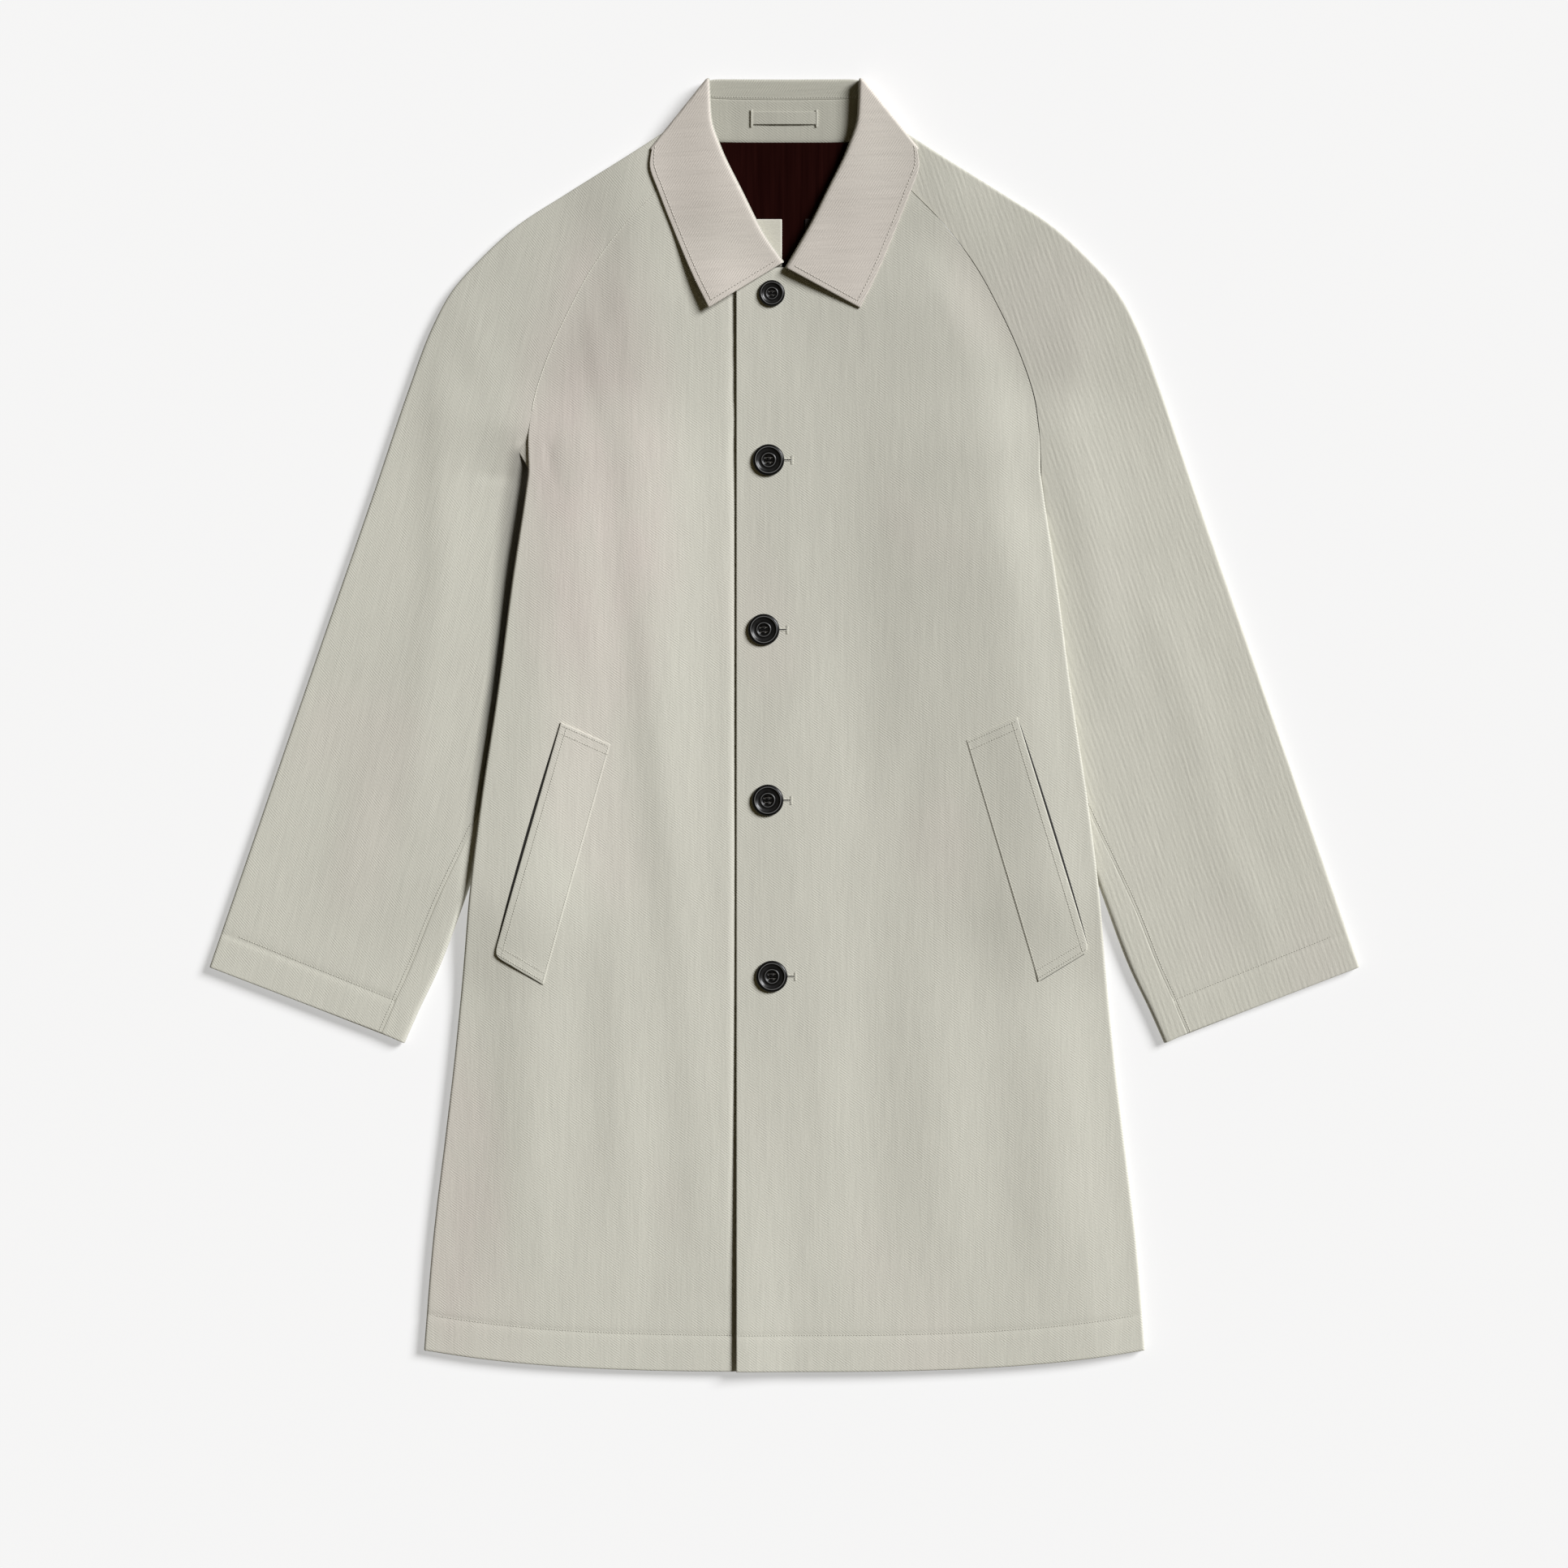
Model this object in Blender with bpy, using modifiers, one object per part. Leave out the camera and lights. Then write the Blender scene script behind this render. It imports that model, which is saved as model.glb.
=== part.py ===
"""A raglan wool coat with a turned-down collar, buttoned and laid flat on its back.

The scene is in metres: +Z up from the surface it lies on, +Y towards the collar, +X towards the
wearer's left sleeve. Tables are in millimetres from the middle of the coat and give its left half.
Each cloth piece is the middle surface of its wall, thickened half to each side.
"""
import math
from collections import namedtuple

import bmesh
import bpy
import numpy as np
from mathutils import Vector

MM = 0.001
CLOTH = 2.0
COLLAR_CLOTH = 1.6
LINING_CLOTH = 1.0
LABEL_CLOTH = 1.0
LOOP_CLOTH = 1.2
WELT_CLOTH = 1.6
SEAM_GAP = 0.3
WELT_GAP = 0.7
LINING_GAP = 0.4

LAYER_RISE = 5.0
LAP_RISE = 2.3
NECK_LIFT = 3.2
SIDE_LIFT = 7.7
LEAF_RISE = 3.1
FOLD_RADIUS = LAYER_RISE / 2
SEAM_TURN = math.radians(12)
HALF_TURN = math.radians(90)
EDGE_TURN = math.radians(80)
SEAM_RIM = SEAM_GAP / 2 + CLOTH / 2 * math.sin(SEAM_TURN)

HEM_MIDDLE = -494.2
HEM_RISE = 16.4
HEM_HALF = 275.6
LEFT_LAP = -36.9
RIGHT_LAP = -11.0
LEFT_LAP_TOP = 345.0
RIGHT_LAP_TOP = 341.0
NECK_MIDDLE = 443.9

Spot = namedtuple("Spot", "x y")
SIDE_EDGE = [
    Spot(275.6, -477.4), Spot(268.2, -388.4), Spot(259.2, -314.0), Spot(253.3, -264.4),
    Spot(245.8, -190.0), Spot(240.1, -126.8), Spot(230.9, -53.6), Spot(219.5, 20.8),
    Spot(206.3, 120.0), Spot(200.0, 160.9), Spot(195.3, 194.4),
]
FRONT_RAGLAN = [
    Spot(195.0, 218.6), Spot(191.0, 250.0), Spot(181.0, 281.0), Spot(163.4, 319.6),
    Spot(146.6, 350.0), Spot(124.3, 379.8), Spot(96.4, 408.3), Spot(82.0, 423.0),
]
BACK_RAGLAN = [
    Spot(187.0, 240.0), Spot(170.0, 300.0), Spot(140.0, 360.0), Spot(100.0, 408.0), Spot(60.0, 446.5),
]
SLEEVE_OUTER = [
    Spot(439.6, -185.1), Spot(398.4, -66.0), Spot(355.6, 58.0), Spot(312.5, 182.0), Spot(287.4, 256.4),
    Spot(268.5, 306.0), Spot(255.1, 330.8), Spot(233.1, 355.6), Spot(206.2, 380.4), Spot(168.3, 405.2),
    Spot(118.1, 436.2), Spot(90.5, 454.0),
]
SLEEVE_INNER = [
    Spot(290.5, -243.4), Spot(277.8, -215.0), Spot(265.7, -190.0), Spot(246.5, -140.0), Spot(226.0, -80.0),
    Spot(210.0, -20.0), Spot(200.0, 40.0), Spot(197.0, 100.0), Spot(202.4, 150.0), Spot(195.9, 194.4),
]
SHOULDER_NECK = [Spot(36.5, 363.0), Spot(59.8, 391.4), Spot(78.5, 417.9), Spot(81.6, 422.5)]
LEFT_NECK = [Spot(LEFT_LAP, LEFT_LAP_TOP), Spot(-16.0, 349.0), Spot(0.0, 350.0), Spot(14.0, 350.5)]
RIGHT_NECK = [Spot(RIGHT_LAP, RIGHT_LAP_TOP), Spot(0.0, 343.8), Spot(13.4, 345.4)]
BACK_NECK = [Spot(0.0, NECK_MIDDLE), Spot(30.0, 444.6), Spot(59.6, 446.2)]

Station = namedtuple("Station", "roll_x roll_y edge_x edge_y lip stand turn segments")
COLLAR = [
    Station(0.0, 494.0, 0.0, 419.0, 14.0, 49.8, -90.0, 3),
    Station(34.0, 494.0, 58.0, 424.0, 14.0, 50.3, -90.0, 2),
    Station(53.5, 489.0, 101.4, 438.8, 14.0, 47.4, -90.0, 6),
    Station(53.5, 489.0, 101.4, 438.8, 14.0, 47.4, 90.0, 2),
    Station(55.5, 465.0, 103.0, 427.0, 12.0, 39.0, 90.0, 2),
    Station(48.0, 441.0, 95.5, 405.2, 11.0, 37.0, 90.0, 2),
    Station(32.0, 408.0, 84.3, 376.7, 10.0, 32.0, 90.0, 2),
    Station(16.0, 376.5, 69.6, 341.9, 8.0, 24.0, 90.0, 2),
    Station(1.0, 353.5, 57.8, 318.1, 6.0, 14.0, 90.0, 0),
]
BACK_LEAF = COLLAR_CLOTH / 2
LEAF_SPRING = 1.5

Fold = namedtuple("Fold", "x lean width low high height")
FRONT_FOLDS = [
    Fold(100.0, -0.06, 34.0, -470.0, 250.0, 1.3),
    Fold(165.0, -0.10, 26.0, -480.0, -20.0, 1.1),
    Fold(60.0, -0.02, 22.0, -480.0, 120.0, -0.8),
]

Welt = namedtuple("Welt", "side outer_top inner_top outer_bottom inner_bottom")
WELTS = {
    "pocket_welt_left": Welt(
        1, Spot(177.6, 5.9), Spot(138.3, -11.5), Spot(232.8, -172.3), Spot(193.6, -196.2)),
    "pocket_welt_right": Welt(
        -1, Spot(170.5, 2.2), Spot(132.6, -14.6), Spot(221.7, -176.1), Spot(184.0, -198.6)),
}
WELT_OPENING = 1.5

Button = namedtuple("Button", "x y radius")
BUTTONS = [
    Button(-9.6, 329.6, 10.0), Button(-12.1, 202.4, 12.0), Button(-15.8, 72.9, 12.0),
    Button(-12.7, -57.4, 12.0), Button(-9.6, -191.9, 12.0),
]
BUTTON_HEIGHT = 4.0
BUTTON_DISH = 1.1
BUTTON_SIDES = 20

LINING_TOP = Spot(58.0, 443.6)
LINING_FOOT = Spot(100.0, 285.0)
Tag = namedtuple("Tag", "low_x high_x low_y high_y")
PALE_LABEL = Tag(-61.5, -1.8, 341.0, 386.6)
DARK_LABEL = Tag(15.8, 52.0, 352.0, 386.9)
HANGER = Tag(-25.7, 25.7, 459.0, 469.0)
HANGER_BOW = 1.5

SIDE_ROWS = [
    -477.4, -415.0, -350.0, -285.0, -230.0, -200.0, -180.0, -160.0, -140.0, -115.0,
    -60.0, 0.0, 60.0, 115.0, 145.0, 160.0, 172.0, 184.0, 194.4,
]
RAGLAN_ROWS = 10
UNDERARM_ROWS = 13
TURN_STEPS = 3

Look = namedtuple("Look", "colour roughness")
LOOKS = {
    "wool": Look((0.545, 0.533, 0.462), 0.9),
    "collar_wool": Look((0.52, 0.485, 0.434), 0.9),
    "lining": Look((0.02, 0.006, 0.006), 0.45),
    "pale_label": Look((0.60, 0.578, 0.485), 0.8),
    "dark_label": Look((0.018, 0.008, 0.008), 0.7),
    "horn": Look((0.014, 0.012, 0.012), 0.3),
}


def ease(start, end, value):
    """0 at start and 1 at end, smooth between them; either may be the larger."""
    part = np.clip((np.asarray(value, float) - start) / (end - start), 0.0, 1.0)
    return part * part * (3.0 - 2.0 * part)


def bend(start, end, start_slope, end_slope, part):
    """The place at a part of the way along a curve with a given slope at each end."""
    placed = (2 * part**3 - 3 * part**2 + 1) * start + (3 * part**2 - 2 * part**3) * end
    return placed + (part**3 - 2 * part**2 + part) * start_slope + (part**3 - part**2) * end_slope


def smooth(spots, count):
    """count points evenly along a smooth curve through the spots."""
    spots = np.array(spots, float)
    along = np.concatenate([[0.0], np.cumsum(np.linalg.norm(np.diff(spots, axis=0), axis=1))])
    slopes = np.gradient(spots, along, axis=0)
    at = np.linspace(0.0, along[-1], count)
    span = np.clip(np.searchsorted(along, at, side="right") - 1, 0, len(along) - 2)
    size = (along[span + 1] - along[span])[:, None]
    part = (at - along[span])[:, None] / size
    return bend(spots[span], spots[span + 1], size * slopes[span], size * slopes[span + 1], part)


SIDE_CURVE = smooth(SIDE_EDGE, 200)


def half_width(y):
    """The body's half width at a height on the page."""
    return np.interp(y, SIDE_CURVE[:, 1], SIDE_CURVE[:, 0])


def neck_lift(x, y):
    """How far the cloth lies above the table over the back of the collar."""
    return NECK_LIFT * ease(335.0, 412.0, y) * ease(175.0, 114.0, np.abs(x))


def side_lift(x, y):
    """How far the body's side is lifted by the sleeve that lies under it."""
    inside = half_width(y) - np.abs(x)
    return SIDE_LIFT * ease(195.0, 152.0, y) * ease(-195.0, -130.0, y) * ease(85.0, 22.0, inside)


def back_height(x, y):
    return CLOTH / 2 + neck_lift(x, y) + side_lift(x, y)


def folds(x, y):
    """Long soft folds of a front; they die out before its edges."""
    height = np.zeros(np.broadcast(x, y).shape)
    for fold in FRONT_FOLDS:
        across = np.exp(-(((x - fold.x - fold.lean * y) / fold.width) ** 2))
        ends = ease(fold.low, fold.low + 150.0, y) * ease(fold.high, fold.high - 150.0, y)
        height += fold.height * across * ends
    return height * ease(4.0, 50.0, half_width(y) - np.abs(x))


def under_height(x, y):
    """The front that lies underneath, on the half where x is positive."""
    return back_height(x, y) + LAYER_RISE + folds(x, y)


def top_height(x, y):
    """The front that laps over the other."""
    return under_height(x, y) + LAP_RISE * ease(90.0, 24.0, x)


def leaf_height(x, y):
    return back_height(x, y) + LAYER_RISE + LAP_RISE * ease(95.0, 45.0, np.abs(x)) + LEAF_RISE


def sleeve_height(x, y):
    return CLOTH / 2 + neck_lift(x, y)


def outward_of(edge):
    """The direction across an edge that runs upwards, to its right."""
    run = np.gradient(edge, axis=0)
    across = np.stack([run[:, 1], -run[:, 0]], axis=1)
    return across / np.linalg.norm(across, axis=1, keepdims=True)


def blend(bottom, top, inner, outer, up):
    """The grid between four edges, in the plane of the table; up gives the place of each row."""
    across = np.linspace(0.0, 1.0, len(bottom))[None, :, None]
    up = up[:, None, None]
    ruled = (1 - up) * bottom[None] + up * top[None] + (1 - across) * inner[:, None] + across * outer[:, None]
    corners = (1 - across) * (1 - up) * bottom[0] + across * (1 - up) * bottom[-1]
    corners = corners + (1 - across) * up * top[0] + across * up * top[-1]
    return ruled - corners


def fold_closing(y):
    """0 along the raglan seam, 1 where the edge is a closed fold."""
    return ease(196.0, 165.0, y)


def body_panel(raglan, neck, lap, lap_top, columns):
    """Half a body panel from its lap to its side, and how far its edge turns towards the other wall."""
    side = np.stack([half_width(SIDE_ROWS), SIDE_ROWS], axis=1)
    edge = np.concatenate([side, smooth(raglan, RAGLAN_ROWS)])
    outward = outward_of(edge)
    closing = fold_closing(edge[:, 1])
    angle = SEAM_TURN + (EDGE_TURN - SEAM_TURN) * closing
    rim = SEAM_RIM + (CLOTH / 2 - SEAM_RIM) * closing
    start = edge - outward * (rim + FOLD_RADIUS * np.sin(angle))[:, None]
    hem_x = np.linspace(lap, start[0, 0], columns)
    hem = np.stack([hem_x, HEM_MIDDLE + HEM_RISE * np.abs(hem_x / HEM_HALF) ** 3], axis=1)
    start[0, 1] = hem[-1, 1]
    top = smooth(neck, columns)
    top[-1] = start[-1]
    along = np.concatenate([[0.0], np.cumsum(np.linalg.norm(np.diff(edge, axis=0), axis=1))])
    up = along / along[-1]
    inner = hem[0] + (np.array([lap, lap_top]) - hem[0]) * up[:, None]
    flat = blend(hem, top, inner, start, up)
    turns = angle[:, None] * np.linspace(0.0, 1.0, TURN_STEPS + 1)[1:]
    turned = start[:, None] + outward[:, None] * (FOLD_RADIUS * np.sin(turns))[..., None]
    drop = np.concatenate([np.zeros(flat.shape[:2]), FOLD_RADIUS * (1 - np.cos(turns))], axis=1)
    return np.concatenate([flat, turned], axis=1), drop


def seam_path(y):
    """How far the underarm seam stands from the middle of the fold, up and onto the sleeve's front."""
    return 22.0 * ease(40.0, -170.0, y) - 1.5 * ease(-170.0, -235.0, y)


def sleeve(raglan, is_front):
    """A sleeve's front or back, from the underarm to the overarm edge, and its turn to the other wall.

    The back folds up around the underarm and runs onto the front as far as the underarm seam.
    """
    inner = np.concatenate([smooth(SLEEVE_INNER, UNDERARM_ROWS), smooth(raglan, RAGLAN_ROWS)])
    outer = smooth(SLEEVE_OUTER, len(inner))
    inward = outward_of(inner)
    closing = fold_closing(inner[:, 1])
    path = seam_path(inner[:, 1])
    quarter = FOLD_RADIUS * HALF_TURN
    slack = FOLD_RADIUS * (HALF_TURN - EDGE_TURN)
    least = FOLD_RADIUS * SEAM_TURN
    rim = SEAM_RIM + FOLD_RADIUS * math.sin(SEAM_TURN)
    centre = rim + (CLOTH / 2 + FOLD_RADIUS - rim) * closing
    if is_front:
        length = np.maximum(least, least + (quarter - path - slack - least) * closing)
        angle, run = length / FOLD_RADIUS, np.zeros(len(inner))
        centre = centre + np.maximum(0.0, path - quarter) + rim * ease(quarter - 2.5, quarter, path)
        steps = np.linspace(1.0, 0.0, TURN_STEPS + 1)
    else:
        length = least + (quarter + path - slack - least) * closing
        angle = np.minimum(length / FOLD_RADIUS, 2 * HALF_TURN)
        run = np.maximum(0.0, length - angle * FOLD_RADIUS)
        steps = np.linspace(1.0, 0.0, 2 * TURN_STEPS + 1)
    turns = angle[:, None] * steps
    reach = centre[:, None] - FOLD_RADIUS * np.sin(turns) + run[:, None] * (steps == 1.0)
    drop = FOLD_RADIUS * (1 - np.cos(turns))
    near = inner[:, None] + inward[:, None] * reach[..., None]
    across = outer - near[:, -1]
    across = across / np.linalg.norm(across, axis=1, keepdims=True)
    turns = EDGE_TURN * np.linspace(0.0, 1.0, TURN_STEPS + 1)
    reach = CLOTH / 2 + FOLD_RADIUS * (1 - np.sin(turns))
    far = outer[:, None] - across[:, None] * reach[None, :, None]
    far_drop = np.broadcast_to(FOLD_RADIUS * (1 - np.cos(turns)), far.shape[:2])
    middle = np.linspace(near[:, -1], far[:, 0], 7, axis=1)[:, 1:-1]
    drop = np.concatenate([drop, np.zeros(middle.shape[:2]), far_drop], axis=1)
    return np.concatenate([near, middle, far], axis=1), drop


def collar_stations():
    """Roll points, edge points, lips, stands and turns along half the collar, back to front."""
    table = np.array(COLLAR, float)[:, :6]
    slopes = np.gradient(table, axis=0)
    rows, turns = [], []
    for index, station in enumerate(COLLAR[:-1]):
        for step in range(station.segments):
            part = step / station.segments
            rows.append(bend(table[index], table[index + 1], slopes[index], slopes[index + 1], part))
            turns.append(station.turn + part * (COLLAR[index + 1].turn - station.turn))
    rows.append(table[-1])
    turns.append(COLLAR[-1].turn)
    return np.array(rows), np.radians(turns)


def collar_point(row, turn, width, level):
    """A point of the collar: width runs from the roll to the edge, level from stand (0) to fall (1)."""
    roll, edge = row[:2], row[2:4]
    leaf = np.linalg.norm(edge - roll)
    along = (edge - roll) / leaf
    outward = np.array([-along[1], along[0]])
    spot = roll + along * width
    stand_back = CLOTH / 2 + NECK_LIFT
    low = stand_back + (BACK_LEAF - stand_back) * level
    stand_front = back_height(spot[0], spot[1]) + LAYER_RISE
    high = stand_front + (leaf_height(spot[0], spot[1]) - stand_front) * level
    spring = LEAF_SPRING * level * ease(0.0, 1.0, width / leaf) * ease(0.0, HALF_TURN, turn)
    middle, reach = (high + low) / 2, (high - low) / 2
    spot = spot + outward * reach * math.cos(turn)
    return spot[0], spot[1], middle + reach * math.sin(turn) + spring


def collar_fall():
    """The lip inside the neck, the roll and the leaf, along half the collar."""
    rows, turns = collar_stations()
    grid = []
    for row, turn in zip(rows, turns):
        rise = LEAF_RISE + LAP_RISE * float(ease(95.0, 45.0, row[0])) * float(ease(0, HALF_TURN, turn))
        radius = rise / 2
        start = radius + COLLAR_CLOTH / 2
        leaf = np.linalg.norm(row[2:4] - row[:2])
        section = [(start + row[4] * part, 0.0) for part in (1.0, 0.5)]
        for angle in np.linspace(-HALF_TURN, HALF_TURN, 6):
            section.append((start - radius * math.cos(angle), 0.5 + 0.5 * math.sin(angle)))
        section += [(start + (leaf - start) * part, 1.0) for part in (0.33, 0.67, 1.0)]
        grid.append([collar_point(row, turn, width, level) for width, level in section])
    return np.array(grid)


def collar_stand():
    """The band between the fall's lip and the neck seam."""
    rows, turns = collar_stations()
    grid = []
    for row, turn in zip(rows, turns):
        rise = LEAF_RISE + LAP_RISE * float(ease(95.0, 45.0, row[0])) * float(ease(0, HALF_TURN, turn))
        start = rise / 2 + COLLAR_CLOTH / 2 + row[4] + SEAM_GAP
        widths = np.linspace(start, max(row[5], start + 2.0), 4)
        grid.append([collar_point(row, turn, width, 0.0) for width in widths])
    return np.array(grid)


def patch(corners, columns, rows):
    """A grid of places between four corners: low start, low end, high start, high end."""
    low_start, low_end, high_start, high_end = (np.array(corner, float) for corner in corners)
    across = np.linspace(0.0, 1.0, columns)[None, :, None]
    up = np.linspace(0.0, 1.0, rows)[:, None, None]
    low = low_start + (low_end - low_start) * across
    return low + (high_start + (high_end - high_start) * across - low) * up


def raised(places, height):
    """Places in the plane with a height for each."""
    return np.concatenate([places, np.asarray(height)[..., None]], axis=2)


def mirrored(grid, side):
    return grid * np.array([side, 1.0, 1.0])


def material(name):
    made = bpy.data.materials.get(name)
    if made is None:
        made = bpy.data.materials.new(name)
        made.use_nodes = True
        shader = made.node_tree.nodes["Principled BSDF"]
        shader.inputs["Base Color"].default_value = (*LOOKS[name].colour, 1.0)
        shader.inputs["Roughness"].default_value = LOOKS[name].roughness
    return made


def cloth(name, grid, thickness, look, both_halves=False):
    """A cloth piece from the grid of its middle surface; a half may be mirrored to the other side."""
    rows, columns = grid.shape[:2]
    shell = bmesh.new()
    made = bmesh.ops.create_grid(shell, x_segments=columns - 1, y_segments=rows - 1, size=1.0)
    for vertex, point in zip(made["verts"], grid.reshape(-1, 3)):
        vertex.co = Vector(point) * MM
    mesh = bpy.data.meshes.new(name)
    shell.to_mesh(mesh)
    shell.free()
    piece = bpy.data.objects.new(name, mesh)
    coat.objects.link(piece)
    mesh.materials.append(material(look))
    if both_halves:
        mirror = piece.modifiers.new("other_half", "MIRROR")
        mirror.merge_threshold = 0.00005
    wall = piece.modifiers.new("wall", "SOLIDIFY")
    wall.thickness = thickness * MM
    wall.offset = 0.0
    wall.use_even_offset = True
    return piece


def button(name, spot):
    """A turned button with a raised rim, standing on the lapped front."""
    radius, floor = spot.radius, BUTTON_HEIGHT - BUTTON_DISH
    profile = [
        (0.0, floor), (0.52 * radius, floor), (0.68 * radius, BUTTON_HEIGHT), (0.86 * radius, BUTTON_HEIGHT),
        (radius, 0.62 * BUTTON_HEIGHT), (0.92 * radius, 0.15 * BUTTON_HEIGHT), (0.7 * radius, 0.0),
        (0.0, 0.0),
    ]
    mesh = bpy.data.meshes.new(name)
    points = [(x * MM, 0.0, z * MM) for x, z in profile]
    mesh.from_pydata(points, [(i, i + 1) for i in range(len(points) - 1)], [])
    piece = bpy.data.objects.new(name, mesh)
    coat.objects.link(piece)
    mesh.materials.append(material("horn"))
    turn = piece.modifiers.new("turn", "SCREW")
    turn.steps = BUTTON_SIDES
    turn.render_steps = BUTTON_SIDES
    turn.use_merge_vertices = True
    turn.merge_threshold = 0.00005
    top = float(top_height(spot.x, spot.y)) + CLOTH / 2 + SEAM_GAP
    piece.location = (spot.x * MM, spot.y * MM, top * MM)


def tag(name, shape, lift, thickness, look, columns=2):
    """A small flat piece sewn inside the neck, above the back panel by the lift."""
    corners = [(shape.low_x, shape.low_y), (shape.high_x, shape.low_y)]
    corners += [(shape.low_x, shape.high_y), (shape.high_x, shape.high_y)]
    places = patch(corners, columns, 4)
    cloth(name, raised(places, back_height(places[..., 0], places[..., 1]) + lift), thickness, look)


for old in list(bpy.data.objects):
    bpy.data.objects.remove(old)
coat = bpy.data.collections.new("wool_coat")
bpy.context.scene.collection.children.link(coat)

places, drop = body_panel(BACK_RAGLAN, BACK_NECK, 0.0, NECK_MIDDLE, 7)
cloth("back_panel", raised(places, back_height(places[..., 0], places[..., 1]) + drop), CLOTH, "wool", True)

for name, side, neck, height in (
    ("front_left", 1, LEFT_NECK, top_height), ("front_right", -1, RIGHT_NECK, under_height),
):
    lap = neck[0]
    places, drop = body_panel(FRONT_RAGLAN, neck + SHOULDER_NECK, lap.x, lap.y, 10)
    level = height(places[..., 0], places[..., 1]) - drop
    cloth(name, mirrored(raised(places, level), side), CLOTH, "wool")

for name, side in (("left", 1), ("right", -1)):
    places, drop = sleeve(FRONT_RAGLAN, True)
    level = sleeve_height(places[..., 0], places[..., 1]) + LAYER_RISE - drop
    cloth("sleeve_front_" + name, mirrored(raised(places, level), side), CLOTH, "wool")
    places, drop = sleeve(BACK_RAGLAN, False)
    level = sleeve_height(places[..., 0], places[..., 1]) + drop
    cloth("sleeve_back_" + name, mirrored(raised(places, level), side), CLOTH, "wool")

cloth("collar_fall", collar_fall(), COLLAR_CLOTH, "collar_wool", True)
cloth("collar_stand", collar_stand(), COLLAR_CLOTH, "collar_wool", True)

lining_lift = (CLOTH + LINING_CLOTH) / 2 + LINING_GAP
foot, top = LINING_FOOT, LINING_TOP
places = patch([(0.0, foot.y), foot, (0.0, top.y), top], 4, 9)
level = back_height(places[..., 0], places[..., 1]) + lining_lift
cloth("back_lining", raised(places, level), LINING_CLOTH, "lining", True)
label_lift = lining_lift + (LINING_CLOTH + LABEL_CLOTH) / 2 + SEAM_GAP
tag("label_pale", PALE_LABEL, label_lift, LABEL_CLOTH, "pale_label", 4)
tag("label_dark", DARK_LABEL, label_lift, LABEL_CLOTH, "dark_label", 4)

places = patch([(HANGER.low_x, HANGER.low_y), (HANGER.high_x, HANGER.low_y),
                (HANGER.low_x, HANGER.high_y), (HANGER.high_x, HANGER.high_y)], 11, 2)
bow = HANGER_BOW * (1 - (places[..., 0] / HANGER.high_x) ** 2)
level = CLOTH / 2 + NECK_LIFT + (COLLAR_CLOTH + LOOP_CLOTH) / 2 + SEAM_GAP + bow
cloth("hanger_loop", raised(places, level), LOOP_CLOTH, "collar_wool")

for name, welt in WELTS.items():
    places = patch([welt.outer_bottom, welt.inner_bottom, welt.outer_top, welt.inner_top], 6, 9)
    height = top_height if welt.side > 0 else under_height
    level = height(places[..., 0], places[..., 1]) + (CLOTH + WELT_CLOTH) / 2 + WELT_GAP
    level = level + WELT_OPENING * ease(1.0, 0.3, np.linspace(0.0, 1.0, 6))[None, ::-1]
    cloth(name, mirrored(raised(places, level), welt.side), WELT_CLOTH, "wool")

for index, spot in enumerate(BUTTONS):
    button("button_%d" % (index + 1), spot)
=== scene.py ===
# %% [markdown]
# A raglan wool coat lies buttoned on its back, seen from straight above.
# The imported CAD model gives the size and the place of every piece. This lesson dresses it: each
# plain solid is replaced by a finer shell of cloth on the same form, then come the sewing, the
# buttons, the weave, and last the camera and the light.

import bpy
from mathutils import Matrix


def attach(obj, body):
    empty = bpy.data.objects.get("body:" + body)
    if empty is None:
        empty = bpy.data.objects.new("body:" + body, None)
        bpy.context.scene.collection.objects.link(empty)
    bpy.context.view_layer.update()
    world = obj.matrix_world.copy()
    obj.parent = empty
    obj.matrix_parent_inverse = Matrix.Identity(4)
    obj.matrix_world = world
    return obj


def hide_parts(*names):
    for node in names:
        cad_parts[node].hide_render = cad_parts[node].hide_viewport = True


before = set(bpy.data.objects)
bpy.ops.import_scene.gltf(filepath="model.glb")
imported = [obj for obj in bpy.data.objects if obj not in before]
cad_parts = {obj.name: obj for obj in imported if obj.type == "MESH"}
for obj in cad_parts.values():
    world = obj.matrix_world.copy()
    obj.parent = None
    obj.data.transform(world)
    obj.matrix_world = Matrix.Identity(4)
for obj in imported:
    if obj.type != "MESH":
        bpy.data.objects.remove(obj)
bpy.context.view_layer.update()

# %% Tools and units
import math
from collections import namedtuple

import bpy
import numpy as np

MM = 0.001
BODY = "root"
coat = bpy.data.collections.new("coat_cloth")
bpy.context.scene.collection.children.link(coat)

# %% [markdown]
# A coat is cut from a few curves: the side, the raglan seams, the sleeve's two edges and the neck.
# They could be drawn as Bezier objects. Short tables of spots with a smooth curve through them are
# easier to read and to change, and the same tables make the seams of both pieces that meet there.
# Everything is in millimetres from the middle of the coat, for the half where x is positive.

# %% Curves through spots
Spot = namedtuple("Spot", "x y")


def ease(start, end, value):
    """0 at start and 1 at end, smooth between them; either may be the larger."""
    part = np.clip((np.asarray(value, float) - start) / (end - start), 0.0, 1.0)
    return part * part * (3.0 - 2.0 * part)


def bend(start, end, start_slope, end_slope, part):
    """The place at a part of the way along a curve with a given slope at each end."""
    placed = (2 * part**3 - 3 * part**2 + 1) * start + (3 * part**2 - 2 * part**3) * end
    return placed + (part**3 - 2 * part**2 + part) * start_slope + (part**3 - part**2) * end_slope


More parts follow.
